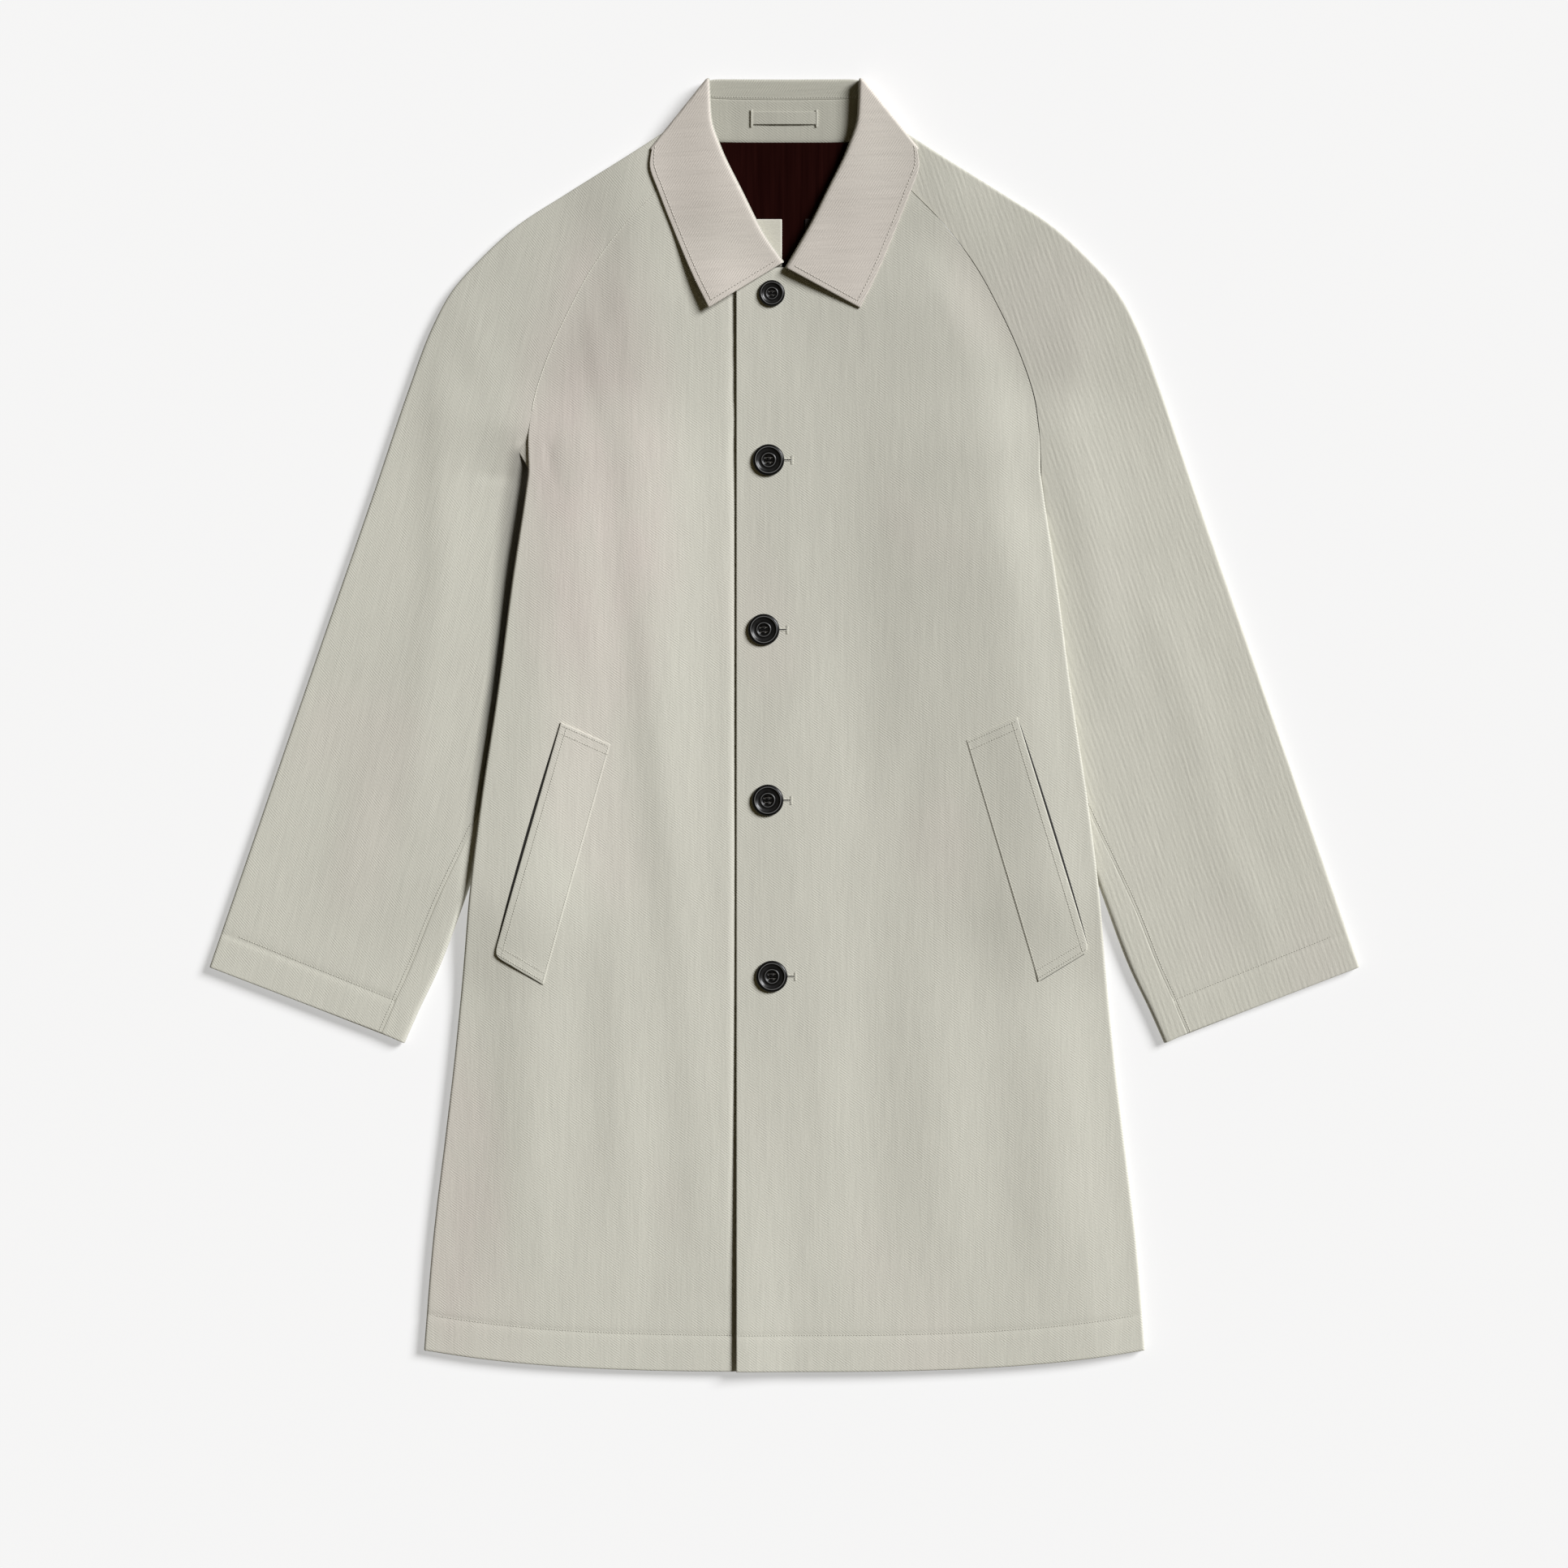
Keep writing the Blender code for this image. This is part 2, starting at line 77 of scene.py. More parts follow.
def smooth(spots, parts):
    """Points at the given parts of the length of a smooth curve through the spots."""
    spots = np.array(spots, float)
    along = np.concatenate([[0.0], np.cumsum(np.linalg.norm(np.diff(spots, axis=0), axis=1))])
    slopes = np.gradient(spots, along, axis=0)
    at = np.asarray(parts) * along[-1]
    span = np.clip(np.searchsorted(along, at, side="right") - 1, 0, len(along) - 2)
    size = (along[span + 1] - along[span])[:, None]
    part = (at - along[span])[:, None] / size
    return bend(spots[span], spots[span + 1], size * slopes[span], size * slopes[span + 1], part)


def even(start, end, step):
    """Values from start to end, about a step apart."""
    return np.linspace(start, end, int(round(abs(end - start) / step)) + 1)


SIDE_EDGE = [
    Spot(275.6, -477.4), Spot(268.2, -388.4), Spot(259.2, -314.0), Spot(253.3, -264.4),
    Spot(245.8, -190.0), Spot(240.1, -126.8), Spot(230.9, -53.6), Spot(219.5, 20.8),
    Spot(206.3, 120.0), Spot(200.0, 160.9), Spot(195.3, 194.4),
]
FRONT_RAGLAN = [
    Spot(195.0, 218.6), Spot(191.0, 250.0), Spot(181.0, 281.0), Spot(163.4, 319.6),
    Spot(146.6, 350.0), Spot(124.3, 379.8), Spot(96.4, 408.3), Spot(82.0, 423.0),
]
BACK_RAGLAN = [
    Spot(187.0, 240.0), Spot(170.0, 300.0), Spot(140.0, 360.0), Spot(100.0, 408.0), Spot(60.0, 446.5),
]
SLEEVE_OUTER = [
    Spot(439.6, -185.1), Spot(398.4, -66.0), Spot(355.6, 58.0), Spot(312.5, 182.0), Spot(287.4, 256.4),
    Spot(268.5, 306.0), Spot(255.1, 330.8), Spot(233.1, 355.6), Spot(206.2, 380.4), Spot(168.3, 405.2),
    Spot(118.1, 436.2), Spot(90.5, 454.0),
]
SLEEVE_INNER = [
    Spot(290.5, -243.4), Spot(277.8, -215.0), Spot(265.7, -190.0), Spot(246.5, -140.0), Spot(226.0, -80.0),
    Spot(210.0, -20.0), Spot(200.0, 40.0), Spot(196.0, 100.0), Spot(197.0, 150.0), Spot(195.9, 194.4),
]
NECK_MIDDLE = 443.9
LEFT_LAP = -36.9
RIGHT_LAP = -11.0
SHOULDER_NECK = [Spot(36.5, 363.0), Spot(59.8, 391.4), Spot(78.5, 417.9), Spot(81.6, 422.5)]
LEFT_NECK = [Spot(LEFT_LAP, 345.0), Spot(-16.0, 349.0), Spot(0.0, 350.0), Spot(14.0, 350.5)]
RIGHT_NECK = [Spot(RIGHT_LAP, 341.0), Spot(0.0, 343.8), Spot(13.4, 345.4)]
BACK_NECK = [Spot(0.0, NECK_MIDDLE), Spot(30.0, 444.6), Spot(59.6, 446.2)]
HEM_MIDDLE = -494.2
HEM_RISE = 16.4
HEM_HALF = 275.6
SIDE_CURVE = smooth(SIDE_EDGE, np.linspace(0.0, 1.0, 200))


def hem_height(x):
    """Where the hem's edge lies on the page."""
    return HEM_MIDDLE + HEM_RISE * np.abs(x / HEM_HALF) ** 3


def half_width(y):
    """The body's half width at a height on the page."""
    return np.interp(y, SIDE_CURVE[:, 1], SIDE_CURVE[:, 0])


FRONT_CURVE = np.concatenate([SIDE_CURVE, smooth(FRONT_RAGLAN, np.linspace(0.0, 1.0, 60))])


def front_width(y):
    """How far a front reaches at a height on the page: to its side, then to the raglan seam."""
    return np.interp(y, FRONT_CURVE[:, 1], FRONT_CURVE[:, 0])


print("hem %.0f mm wide" % (2 * HEM_HALF))

# %% [markdown]
# Laid flat, the coat is a stack of walls: back, lining, front, and the lap over the other front.
# Each wall has a height above the table that is a plain function of x and y. It rises where the
# collar or a sleeve lies underneath. A cloth simulation could find this too, but a pressed coat
# is so flat that a few smooth steps show it better.

# %% Heights of the layers
CLOTH = 2.0
SEAM_GAP = 0.3
LAYER_RISE = 5.0
LAP_RISE = 2.3
NECK_LIFT = 3.2
LAP_SINK = 0.9
SIDE_LIFT = 7.7
LEAF_RISE = 3.1
HEM_GAPE = 3.0
CHEST_GAPE = 0.6
ARMPIT_SHARE = 0.7
FOLD_FADE = 150.0
# Each pair is a smooth step: where it starts, and where it is full.
NECK_UP = (335.0, 412.0)
NECK_ACROSS = (175.0, 114.0)
ARMPIT_UP = (268.0, 200.0)
UNDERARM_UP = (200.0, 110.0)
SLEEVE_LEAVES = (-215.0, -120.0)
SIDE_ACROSS = (150.0, 18.0)
FOLD_EDGE = (4.0, 50.0)
HEM_GAPE_UP = (-190.0, -480.0)
CHEST_GAPE_UP = (190.0, 290.0)
LAP_ACROSS = (210.0, 24.0)
LAP_EDGE = (10.0, -36.0)

Fold = namedtuple("Fold", "x lean width low high height")
FRONT_FOLDS = [
    Fold(100.0, -0.06, 34.0, -470.0, 250.0, 1.3),
    Fold(165.0, -0.10, 26.0, -480.0, -20.0, 1.1),
    Fold(60.0, -0.02, 22.0, -480.0, 120.0, -0.8),
]


def neck_lift(x, y):
    """How far the cloth lies above the table over the back of the collar."""
    return NECK_LIFT * ease(*NECK_UP, y) * ease(*NECK_ACROSS, np.abs(x))


def side_lift(x, y):
    """How far the body's side is lifted by the sleeve that lies under it."""
    inside = half_width(y) - np.abs(x)
    along = ARMPIT_SHARE * ease(*ARMPIT_UP, y) + (1 - ARMPIT_SHARE) * ease(*UNDERARM_UP, y)
    return SIDE_LIFT * along * ease(*SLEEVE_LEAVES, y) * ease(*SIDE_ACROSS, inside)


def back_height(x, y):
    """The middle of the back's wall."""
    return CLOTH / 2 + neck_lift(x, y) + side_lift(x, y)


def folds(x, y):
    """Long soft folds of a front; they die out before its edges."""
    height = np.zeros(np.broadcast(x, y).shape)
    for fold in FRONT_FOLDS:
        across = np.exp(-(((x - fold.x - fold.lean * y) / fold.width) ** 2))
        ends = ease(fold.low, fold.low + FOLD_FADE, y) * ease(fold.high, fold.high - FOLD_FADE, y)
        height += fold.height * across * ends
    return height * ease(*FOLD_EDGE, half_width(y) - np.abs(x))


def under_height(x, y):
    """The front that lies underneath, on the half where x is positive."""
    return back_height(x, y) + LAYER_RISE + folds(x, y)


def top_height(x, y):
    """The front that laps over the other."""
    gape = HEM_GAPE * ease(*HEM_GAPE_UP, y) + CHEST_GAPE * ease(*CHEST_GAPE_UP, y)
    return under_height(x, y) + LAP_RISE * ease(*LAP_ACROSS, x) + (gape - LAP_SINK) * ease(*LAP_EDGE, x)


def sleeve_height(x, y):
    """The middle of the wall of a sleeve's back."""
    return CLOTH / 2 + neck_lift(x, y)


print("lap lies %.1f mm above the table" % float(top_height(0.0, 0.0) + CLOTH / 2))

# %% [markdown]
# Pressed wool still keeps faint creases: drag lines from the armpit, a soft break at the elbow and
# long shallow waves down the fronts. They could be sculpted or left to bump. Here every crease is a
# row of a table, with its own place, direction, length, width and depth, so that no two are alike
# and they catch the light as real relief.

# %% Creases placed one by one
CREASE_HEART = 0.15
Crease = namedtuple("Crease", "x y angle length lap_width side_width depth")
CREASES = {
    "front_left": [
        Crease(60.0, -150.0, 85.0, 200.0, 16.0, 20.0, 0.55),
        Crease(6.0, 12.0, 62.0, 120.0, 14.0, 16.0, 0.5),
        Crease(30.0, -240.0, 91.0, 240.0, 15.0, 18.0, 0.4),
        Crease(120.0, -330.0, 87.0, 260.0, 22.0, 26.0, 0.5),
        Crease(205.0, -330.0, 84.0, 230.0, 20.0, 22.0, 0.7),
        Crease(96.0, -60.0, 78.0, 170.0, 16.0, 14.0, -0.6),
        Crease(176.0, 205.0, 32.0, 60.0, 7.0, 7.0, 0.4),
    ],
    "front_right": [
        Crease(114.0, 240.0, 88.0, 340.0, 44.0, 18.0, 1.9),
        Crease(93.0, -20.0, 84.0, 440.0, 42.0, 17.0, 2.2),
        Crease(68.0, -280.0, 87.0, 330.0, 20.0, 17.0, 1.5),
        Crease(192.0, -300.0, 85.0, 420.0, 46.0, 26.0, 1.1),
        Crease(150.0, 110.0, 86.0, 230.0, 20.0, 14.0, 0.7),
        Crease(140.0, 270.0, 80.0, 130.0, 10.0, 8.0, 0.7),
        Crease(128.0, -250.0, 88.0, 300.0, 18.0, 14.0, 0.7),
        Crease(100.0, -400.0, 92.0, 160.0, 14.0, 12.0, -0.5),
        Crease(184.0, 208.0, 150.0, 34.0, 4.0, 4.0, -0.9),
        Crease(186.0, 196.0, 172.0, 30.0, 3.5, 3.5, -0.8),
    ],
    "sleeve_left": [
        Crease(300.0, 40.0, 112.0, 190.0, 14.0, 18.0, 0.9),
        Crease(236.0, 120.0, 100.0, 260.0, 16.0, 20.0, 1.2),
        Crease(330.0, -70.0, 106.0, 220.0, 18.0, 14.0, 0.7),
        Crease(218.0, 262.0, 78.0, 150.0, 20.0, 18.0, 1.1),
        Crease(360.0, -140.0, 108.0, 130.0, 12.0, 12.0, 0.4),
    ],
    "sleeve_right": [
        Crease(262.0, 190.0, 91.0, 260.0, 22.0, 13.0, 1.4),
        Crease(276.0, 20.0, 97.0, 260.0, 20.0, 13.0, 1.0),
        Crease(318.0, -60.0, 108.0, 220.0, 22.0, 16.0, 0.7),
        Crease(236.0, 290.0, 70.0, 120.0, 16.0, 14.0, 0.6),
        Crease(222.0, 206.0, 20.0, 44.0, 5.0, 5.0, -0.7),
        Crease(218.0, 190.0, 4.0, 40.0, 4.5, 4.5, -0.6),
    ],
    "back": [
        Crease(60.0, 150.0, 88.0, 300.0, 26.0, 20.0, 0.35),
        Crease(-84.0, 40.0, 93.0, 260.0, 22.0, 26.0, 0.3),
        Crease(120.0, -260.0, 86.0, 220.0, 24.0, 18.0, 0.4),
        Crease(-140.0, -300.0, 95.0, 240.0, 26.0, 22.0, 0.35),
        Crease(-20.0, -380.0, 90.0, 160.0, 20.0, 20.0, 0.3),
    ],
}


def creases(piece, x, y):
    """The relief of a piece's creases: soft ridges and troughs that fade at both ends."""
    height = np.zeros(np.broadcast(x, y).shape)
    for crease in CREASES[piece]:
        lean = math.radians(crease.angle)
        along = (x - crease.x) * math.cos(lean) + (y - crease.y) * math.sin(lean)
        across = (y - crease.y) * math.cos(lean) - (x - crease.x) * math.sin(lean)
        ends = ease(crease.length / 2, CREASE_HEART * crease.length, np.abs(along))
        width = np.where(across > 0, crease.lap_width, crease.side_width)
        height += crease.depth * ends * np.exp(-((across / width) ** 2))
    return height


print("creases", sum(len(rows) for rows in CREASES.values()))

# %% [markdown]
# The fronts get a low ridge along each side, and a step and a trench beside the lap, so that its edge
# lies close. Beside the body the right sleeve dips into a dark hollow at the armpit and swells lower
# down. Both could be sculpted; as sums of smooth steps they stay even and join without a mark.
# The side is 1 for the wearer's left, which laps over, and -1 for the right.

# %% Fronts and sleeves with their relief
SIDE_RIDGE = {1: 2.9, -1: 1.3}
RIDGE_SHARE = 0.6
LAP_STEP = 0.6
LAP_TRENCH = 2.3
SLEEVE_TROUGH = {1: 0.0, -1: 4.2}
TROUGH_WIDTH = 4.0
TROUGH_FLARE = 7.0
TROUGH_START = -1.0
SLEEVE_RISE = {1: 0.0, -1: 2.8}
STITCH_LINE = 28.0
STITCH_SINK = 0.35
STITCH_VALLEY = 2.6
# Each pair is a smooth step again, up the page or across it.
RIDGE_GROWS = (60.0, 160.0)
RIDGE_ENDS = (390.0, 320.0)
RIDGE_OUTSIDE = (2.0, 44.0)
RIDGE_INSIDE = (180.0, 50.0)
EDGE_CALM = (0.0, 14.0)
STEP_ACROSS = (120.0, 48.0)
TRENCH_ACROSS = (40.5, 36.0)
SEAM_FADES = {1: (115.0, 250.0), -1: (186.0, 236.0)}
SEAM_ACROSS = (90.0, -4.0)
TROUGH_FLARES = (-60.0, 190.0)
TROUGH_ENDS = (211.0, 199.0)
RISE_STARTS = (0.0, 5.0)
RISE_FADES = (140.0, 6.0)
RISE_UP = (185.0, 40.0)
RISE_LEAVES = (-190.0, -110.0)


def stitched(distance):
    """The shallow valley that a row of stitches pulls into a hem, by distance from its edge."""
    return -STITCH_SINK * np.exp(-(((distance - STITCH_LINE) / STITCH_VALLEY) ** 2))


def front_level(side, x, y):
    """The middle of a front's wall with its creases."""
    height = top_height if side > 0 else under_height
    name = "front_left" if side > 0 else "front_right"
    inside = front_width(y) - np.abs(x)
    shape = creases(name, x, y) * ease(*EDGE_CALM, inside)
    grown = RIDGE_SHARE + (1 - RIDGE_SHARE) * ease(*RIDGE_GROWS, y)
    ridge = SIDE_RIDGE[side] * grown * ease(*RIDGE_ENDS, y)
    shape = shape + ridge * ease(*RIDGE_OUTSIDE, inside) * ease(*RIDGE_INSIDE, inside)
    if side < 0:
        shape = shape + LAP_STEP * ease(*STEP_ACROSS, x) - LAP_TRENCH * ease(*TRENCH_ACROSS, x)
    return height(x, y) + shape + stitched(y - hem_height(x))


CUFF_START = np.array(SLEEVE_INNER[0], float)
CUFF_RUN = np.array(SLEEVE_OUTER[0], float) - CUFF_START
CUFF_UP = np.array([-CUFF_RUN[1], CUFF_RUN[0]]) / np.linalg.norm(CUFF_RUN)


def sleeve_rise(side, x, y):
    """How far a sleeve swells beside the body's edge, below the armpit."""
    outside = np.abs(x) - half_width(y)
    beside = ease(*RISE_STARTS, outside) * ease(*RISE_FADES, outside)
    return SLEEVE_RISE[side] * beside * ease(*RISE_UP, y) * ease(*RISE_LEAVES, y)


def sleeve_level(side, x, y):
    """The middle of the wall of a sleeve's front."""
    name = "sleeve_left" if side > 0 else "sleeve_right"
    above = (x - CUFF_START[0]) * CUFF_UP[0] + (y - CUFF_START[1]) * CUFF_UP[1]
    outside = np.abs(x) - half_width(y)
    seam = side_lift(half_width(y), y) * ease(*SEAM_FADES[side], y) * ease(*SEAM_ACROSS, outside)
    reach = TROUGH_WIDTH + TROUGH_FLARE * ease(*TROUGH_FLARES, y)
    ends = ease(*TROUGH_ENDS, y) * ease(*SLEEVE_LEAVES, y)
    trough = SLEEVE_TROUGH[side] * ease(reach, TROUGH_START, outside) * ends
    shape = creases(name, x, y) + stitched(above) + seam - trough + sleeve_rise(side, x, y)
    return sleeve_height(x, y) + LAYER_RISE + shape


armpit = SIDE_EDGE[-1]
print("front stands %.1f mm above the table at its side" % float(front_level(-1, armpit.x, armpit.y)))

# %% [markdown]
# A pattern piece is a grid: rows run from hem to shoulder and columns from the lap to the side.
# The rows crowd together at the hem and at its stitch line, so that the edge can round over and the
# stitches can sink. At the sides the cloth turns over towards the other wall. A round turn would
# show as a wide bright band, so the turn is a nearly square curve, as in a pressed seam.

# %% The body's panels
FOLD_RADIUS = LAYER_RISE / 2
SEAM_TURN = math.radians(12)
HALF_TURN = math.radians(90)
EDGE_TURN = math.radians(89.99)
EDGE_SQUARE = 0.25
TURN_STEPS = 4
TURN_PARTS = (0.0, 0.1, 0.3, 0.6, 0.85, 1.0)
EDGE_CLOSES = (212.0, 190.0)
RAGLAN_GAPS = {1: 0.3, -1: -1.5}
UNDERARM_GAP = -1.6
EDGE_STEPS = [0.0, 1.0, 4.0, 9.0, 16.0, 22.0, 25.0, 26.5, 28.0, 29.5, 31.0, 34.0, 40.0, 49.0]
EDGE_DEPTH = EDGE_STEPS[-1]
SIDE_LENGTH = SIDE_EDGE[-1].y - SIDE_EDGE[0].y
SIDE_STEPS = np.concatenate([EDGE_STEPS, even(58.0, 636.0, 9.0), even(640.0, SIDE_LENGTH, 4.0)])
RAGLAN_PARTS = np.linspace(0.0, 1.0, 34)


def outward_of(edge):
    """The direction across an edge that runs upwards, to its right."""
    run = np.gradient(edge, axis=0)
    across = np.stack([run[:, 1], -run[:, 0]], axis=1)
    return across / np.linalg.norm(across, axis=1, keepdims=True)


def lengths(path):
    """How far along a path each of its points lies."""
    return np.concatenate([[0.0], np.cumsum(np.linalg.norm(np.diff(path, axis=0), axis=1))])


def blend(bottom, top, inner, outer, across, up):
    """The grid between four edges in the plane of the table."""
    across = across[None, :, None]
    up = up[:, None, None]
    ruled = (1 - up) * bottom[None] + up * top[None]
    ruled = ruled + (1 - across) * inner[:, None] + across * outer[:, None]
    corners = (1 - across) * (1 - up) * bottom[0] + across * (1 - up) * bottom[-1]
    corners = corners + (1 - across) * up * top[0] + across * up * top[-1]
    return ruled - corners


def edge_reach(turn):
    """How far a pressed edge runs out at a turn, as a share of the fold's radius."""
    return np.sin(turn) ** EDGE_SQUARE


def edge_drop(turn):
    """How far a pressed edge has come down at a turn, as a share of the fold's radius."""
    return 1 - np.cos(turn) ** EDGE_SQUARE


def seam_rim(gap):
    """How far a turned edge stops short of the seam line."""
    return gap / 2 + CLOTH / 2 * math.sin(SEAM_TURN)


def body_panel(raglan, neck, lap, steps, gap):
    """Half a body panel, and how far its side turns towards the other wall."""
    rows = SIDE_EDGE[0].y + SIDE_STEPS
    edge = np.concatenate([np.stack([half_width(rows), rows], axis=1), smooth(raglan, RAGLAN_PARTS)])
    outward = outward_of(edge)
    closing = ease(*EDGE_CLOSES, edge[:, 1])
    angle = SEAM_TURN + (EDGE_TURN - SEAM_TURN) * closing
    rim = seam_rim(gap) + (CLOTH / 2 - seam_rim(gap)) * closing
    start = edge - outward * (rim + FOLD_RADIUS * edge_reach(angle))[:, None]
    across = steps / steps[-1]
    hem_x = lap.x + (start[0, 0] - lap.x) * across
    hem = np.stack([hem_x, hem_height(hem_x)], axis=1)
    start[0, 1] = hem[-1, 1]
    top = smooth(neck, across)
    top[-1] = start[-1]
    along = lengths(edge)
    reach = lap.y - hem[0, 1]
    stretch = (reach - EDGE_DEPTH) / (along[-1] - EDGE_DEPTH)
    lap_along = np.where(along < EDGE_DEPTH, along, EDGE_DEPTH + (along - EDGE_DEPTH) * stretch)
    inner = np.stack([np.full(len(along), lap.x), hem[0, 1] + lap_along], axis=1)
    flat = blend(hem, top, inner, start, across, along / along[-1])
    turns = angle[:, None] * np.array(TURN_PARTS)[1:]
    turned = start[:, None] + outward[:, None] * (FOLD_RADIUS * edge_reach(turns))[..., None]
    drop = np.concatenate([np.zeros(flat.shape[:2]), FOLD_RADIUS * edge_drop(turns)], axis=1)
    return np.concatenate([flat, turned], axis=1), drop


def raised(places, height):
    """Places in the plane with a height for each."""
    return np.concatenate([places, np.asarray(height)[..., None]], axis=2)


def mirrored(grid, side):
    return grid * np.array([side, 1.0, 1.0])


FRONT_STEPS = np.concatenate([
    [0.0, 1.0, 3.5, 8.0, 14.0], even(22.0, 38.0, 8.0), even(41.5, 69.5, 3.5), even(78.0, 270.0, 8.0),
    even(274.0, 309.0, 5.0),
])
BACK_STEPS = np.concatenate([even(0.0, 240.0, 12.0), even(246.0, 271.0, 6.0)])
BACK_CALM = (0.0, 40.0)
grids = {}
for name, side, neck in (("front_left", 1, LEFT_NECK), ("front_right", -1, RIGHT_NECK)):
    places, drop = body_panel(FRONT_RAGLAN, neck + SHOULDER_NECK, neck[0], FRONT_STEPS, RAGLAN_GAPS[side])
    level = front_level(side, places[..., 0], places[..., 1]) - drop
    grids[name] = mirrored(raised(places, level), side)
places, drop = body_panel(BACK_RAGLAN, BACK_NECK, BACK_NECK[0], BACK_STEPS, SEAM_GAP)
half = raised(places, back_height(places[..., 0], places[..., 1]) + drop)
whole = np.concatenate([mirrored(half, -1)[:, :0:-1], half], axis=1)
calm = ease(*BACK_CALM, half_width(whole[..., 1]) - np.abs(whole[..., 0]))
whole[..., 2] += creases("back", whole[..., 0], whole[..., 1]) * calm
grids["back_panel"] = whole
print("front grid", grids["front_left"].shape, "back grid", whole.shape)

# %% [markdown]
# A raglan sleeve is cut in two, with one seam over the shoulder and one under the arm. Lying flat,
# the back half folds round the underarm, so the underarm seam shows on the front, a finger's width
# in from the fold. Rows again crowd at the cuff, where the hem is stitched.

# %% The sleeves
CUFF_LENGTH = 452.0
UNDERARM_STEPS = np.concatenate([EDGE_STEPS, even(58.0, 420.0, 9.0), even(425.0, CUFF_LENGTH, 4.5)])
UNDERARM_PARTS = UNDERARM_STEPS / CUFF_LENGTH
SLEEVE_PARTS = np.concatenate([even(0.02, 0.26, 0.02), even(0.3, 0.95, 0.05)])
UNDERARM_SHARE = 12 / 22
RAGLAN_SHARE = 13 / 22
UNDERARM_ONTO = 22.0
UNDERARM_BACK = 1.5
UNDERARM_WALK = (40.0, -170.0)
UNDERARM_RETURN = (-170.0, -235.0)
UNDERARM_RUNS = [1.0, 0.94, 0.6, 0.3]
FOLD_SLACK = math.radians(10)
SLEEVE_CLOSES = (196.0, 165.0)


def seam_path(y):
    """How far the underarm seam stands from the middle of the fold, up and onto the sleeve's front."""
    return UNDERARM_ONTO * ease(*UNDERARM_WALK, y) - UNDERARM_BACK * ease(*UNDERARM_RETURN, y)


def sleeve(raglan, is_front, gap):
    """A sleeve's front or back, from the underarm to the overarm edge, and its turn to the other wall."""
    inner = np.concatenate([smooth(SLEEVE_INNER, UNDERARM_PARTS), smooth(raglan, RAGLAN_PARTS)])
    shares = [UNDERARM_SHARE * UNDERARM_PARTS, RAGLAN_SHARE + (1 - RAGLAN_SHARE) * RAGLAN_PARTS]
    outer = smooth(SLEEVE_OUTER, np.concatenate(shares))
    inward = outward_of(inner)
    closing = ease(*SLEEVE_CLOSES, inner[:, 1])
    path = seam_path(inner[:, 1])
    quarter = FOLD_RADIUS * HALF_TURN
    slack = FOLD_RADIUS * FOLD_SLACK
    least = FOLD_RADIUS * SEAM_TURN
    rim = seam_rim(gap) + FOLD_RADIUS * math.sin(SEAM_TURN)
    under_rim = seam_rim(UNDERARM_GAP) + FOLD_RADIUS * math.sin(SEAM_TURN)
    centre = rim + (CLOTH / 2 + FOLD_RADIUS - rim) * closing
    if is_front:
        length = np.maximum(least, least + (quarter - path - slack - least) * closing)
        angle = length / FOLD_RADIUS
        run = np.zeros(len(inner))
        centre = centre + np.maximum(0.0, path - quarter)
        centre = centre + under_rim * ease(quarter - FOLD_RADIUS, quarter, path)
        steps = np.linspace(1.0, 0.0, TURN_STEPS + 1)
        runs = np.zeros(TURN_STEPS + 1)
    else:
        length = least + (quarter + path - slack - least) * closing
        angle = np.minimum(length / FOLD_RADIUS, 2 * HALF_TURN)
        run = np.maximum(0.0, length - angle * FOLD_RADIUS)
        steps = np.concatenate([np.ones(len(UNDERARM_RUNS)), np.linspace(1.0, 0.0, 2 * TURN_STEPS + 1)])
        runs = np.concatenate([UNDERARM_RUNS, np.zeros(2 * TURN_STEPS + 1)])
    turns = angle[:, None] * steps
    reach = centre[:, None] - FOLD_RADIUS * np.sin(turns) + run[:, None] * runs
    drop = FOLD_RADIUS * (1 - np.cos(turns))
    near = inner[:, None] + inward[:, None] * reach[..., None]
    across = outer - near[:, -1]
    across = across / np.linalg.norm(across, axis=1, keepdims=True)
    turns = EDGE_TURN * np.array(TURN_PARTS)
    reach = CLOTH / 2 + FOLD_RADIUS * (1 - edge_reach(turns))
    far = outer[:, None] - across[:, None] * reach[None, :, None]
    far_drop = np.broadcast_to(FOLD_RADIUS * edge_drop(turns), far.shape[:2])
    middle = near[:, -1:] + (far[:, :1] - near[:, -1:]) * SLEEVE_PARTS[None, :, None]
    drop = np.concatenate([drop, np.zeros(middle.shape[:2]), far_drop], axis=1)
    return np.concatenate([near, middle, far], axis=1), drop


SIDES = (("left", 1), ("right", -1))
for name, side in SIDES:
    places, drop = sleeve(FRONT_RAGLAN, True, RAGLAN_GAPS[side])
    level = sleeve_level(side, places[..., 0], places[..., 1]) - drop
    grids["sleeve_front_" + name] = mirrored(raised(places, level), side)
    places, drop = sleeve(BACK_RAGLAN, False, SEAM_GAP)
    on_top = (drop / LAYER_RISE) ** 3
    level = sleeve_height(places[..., 0], places[..., 1]) + drop
    level = level + sleeve_rise(side, places[..., 0], places[..., 1]) * on_top
    grids["sleeve_back_" + name] = mirrored(raised(places, level), side)
print("sleeve front grid", grids["sleeve_front_left"].shape)

# %% [markdown]
# The collar is two pieces: a stand that rises from the neck seam, and a fall that rolls over it and
# comes down as the leaf. It could be cut flat and bent by a simulation. Here each row of a table is a
# station round the neck, with the roll line, the leaf's edge and the width of the stand, because the
# outline then stays where it is wanted. A curve that never overshoots runs through the rows.

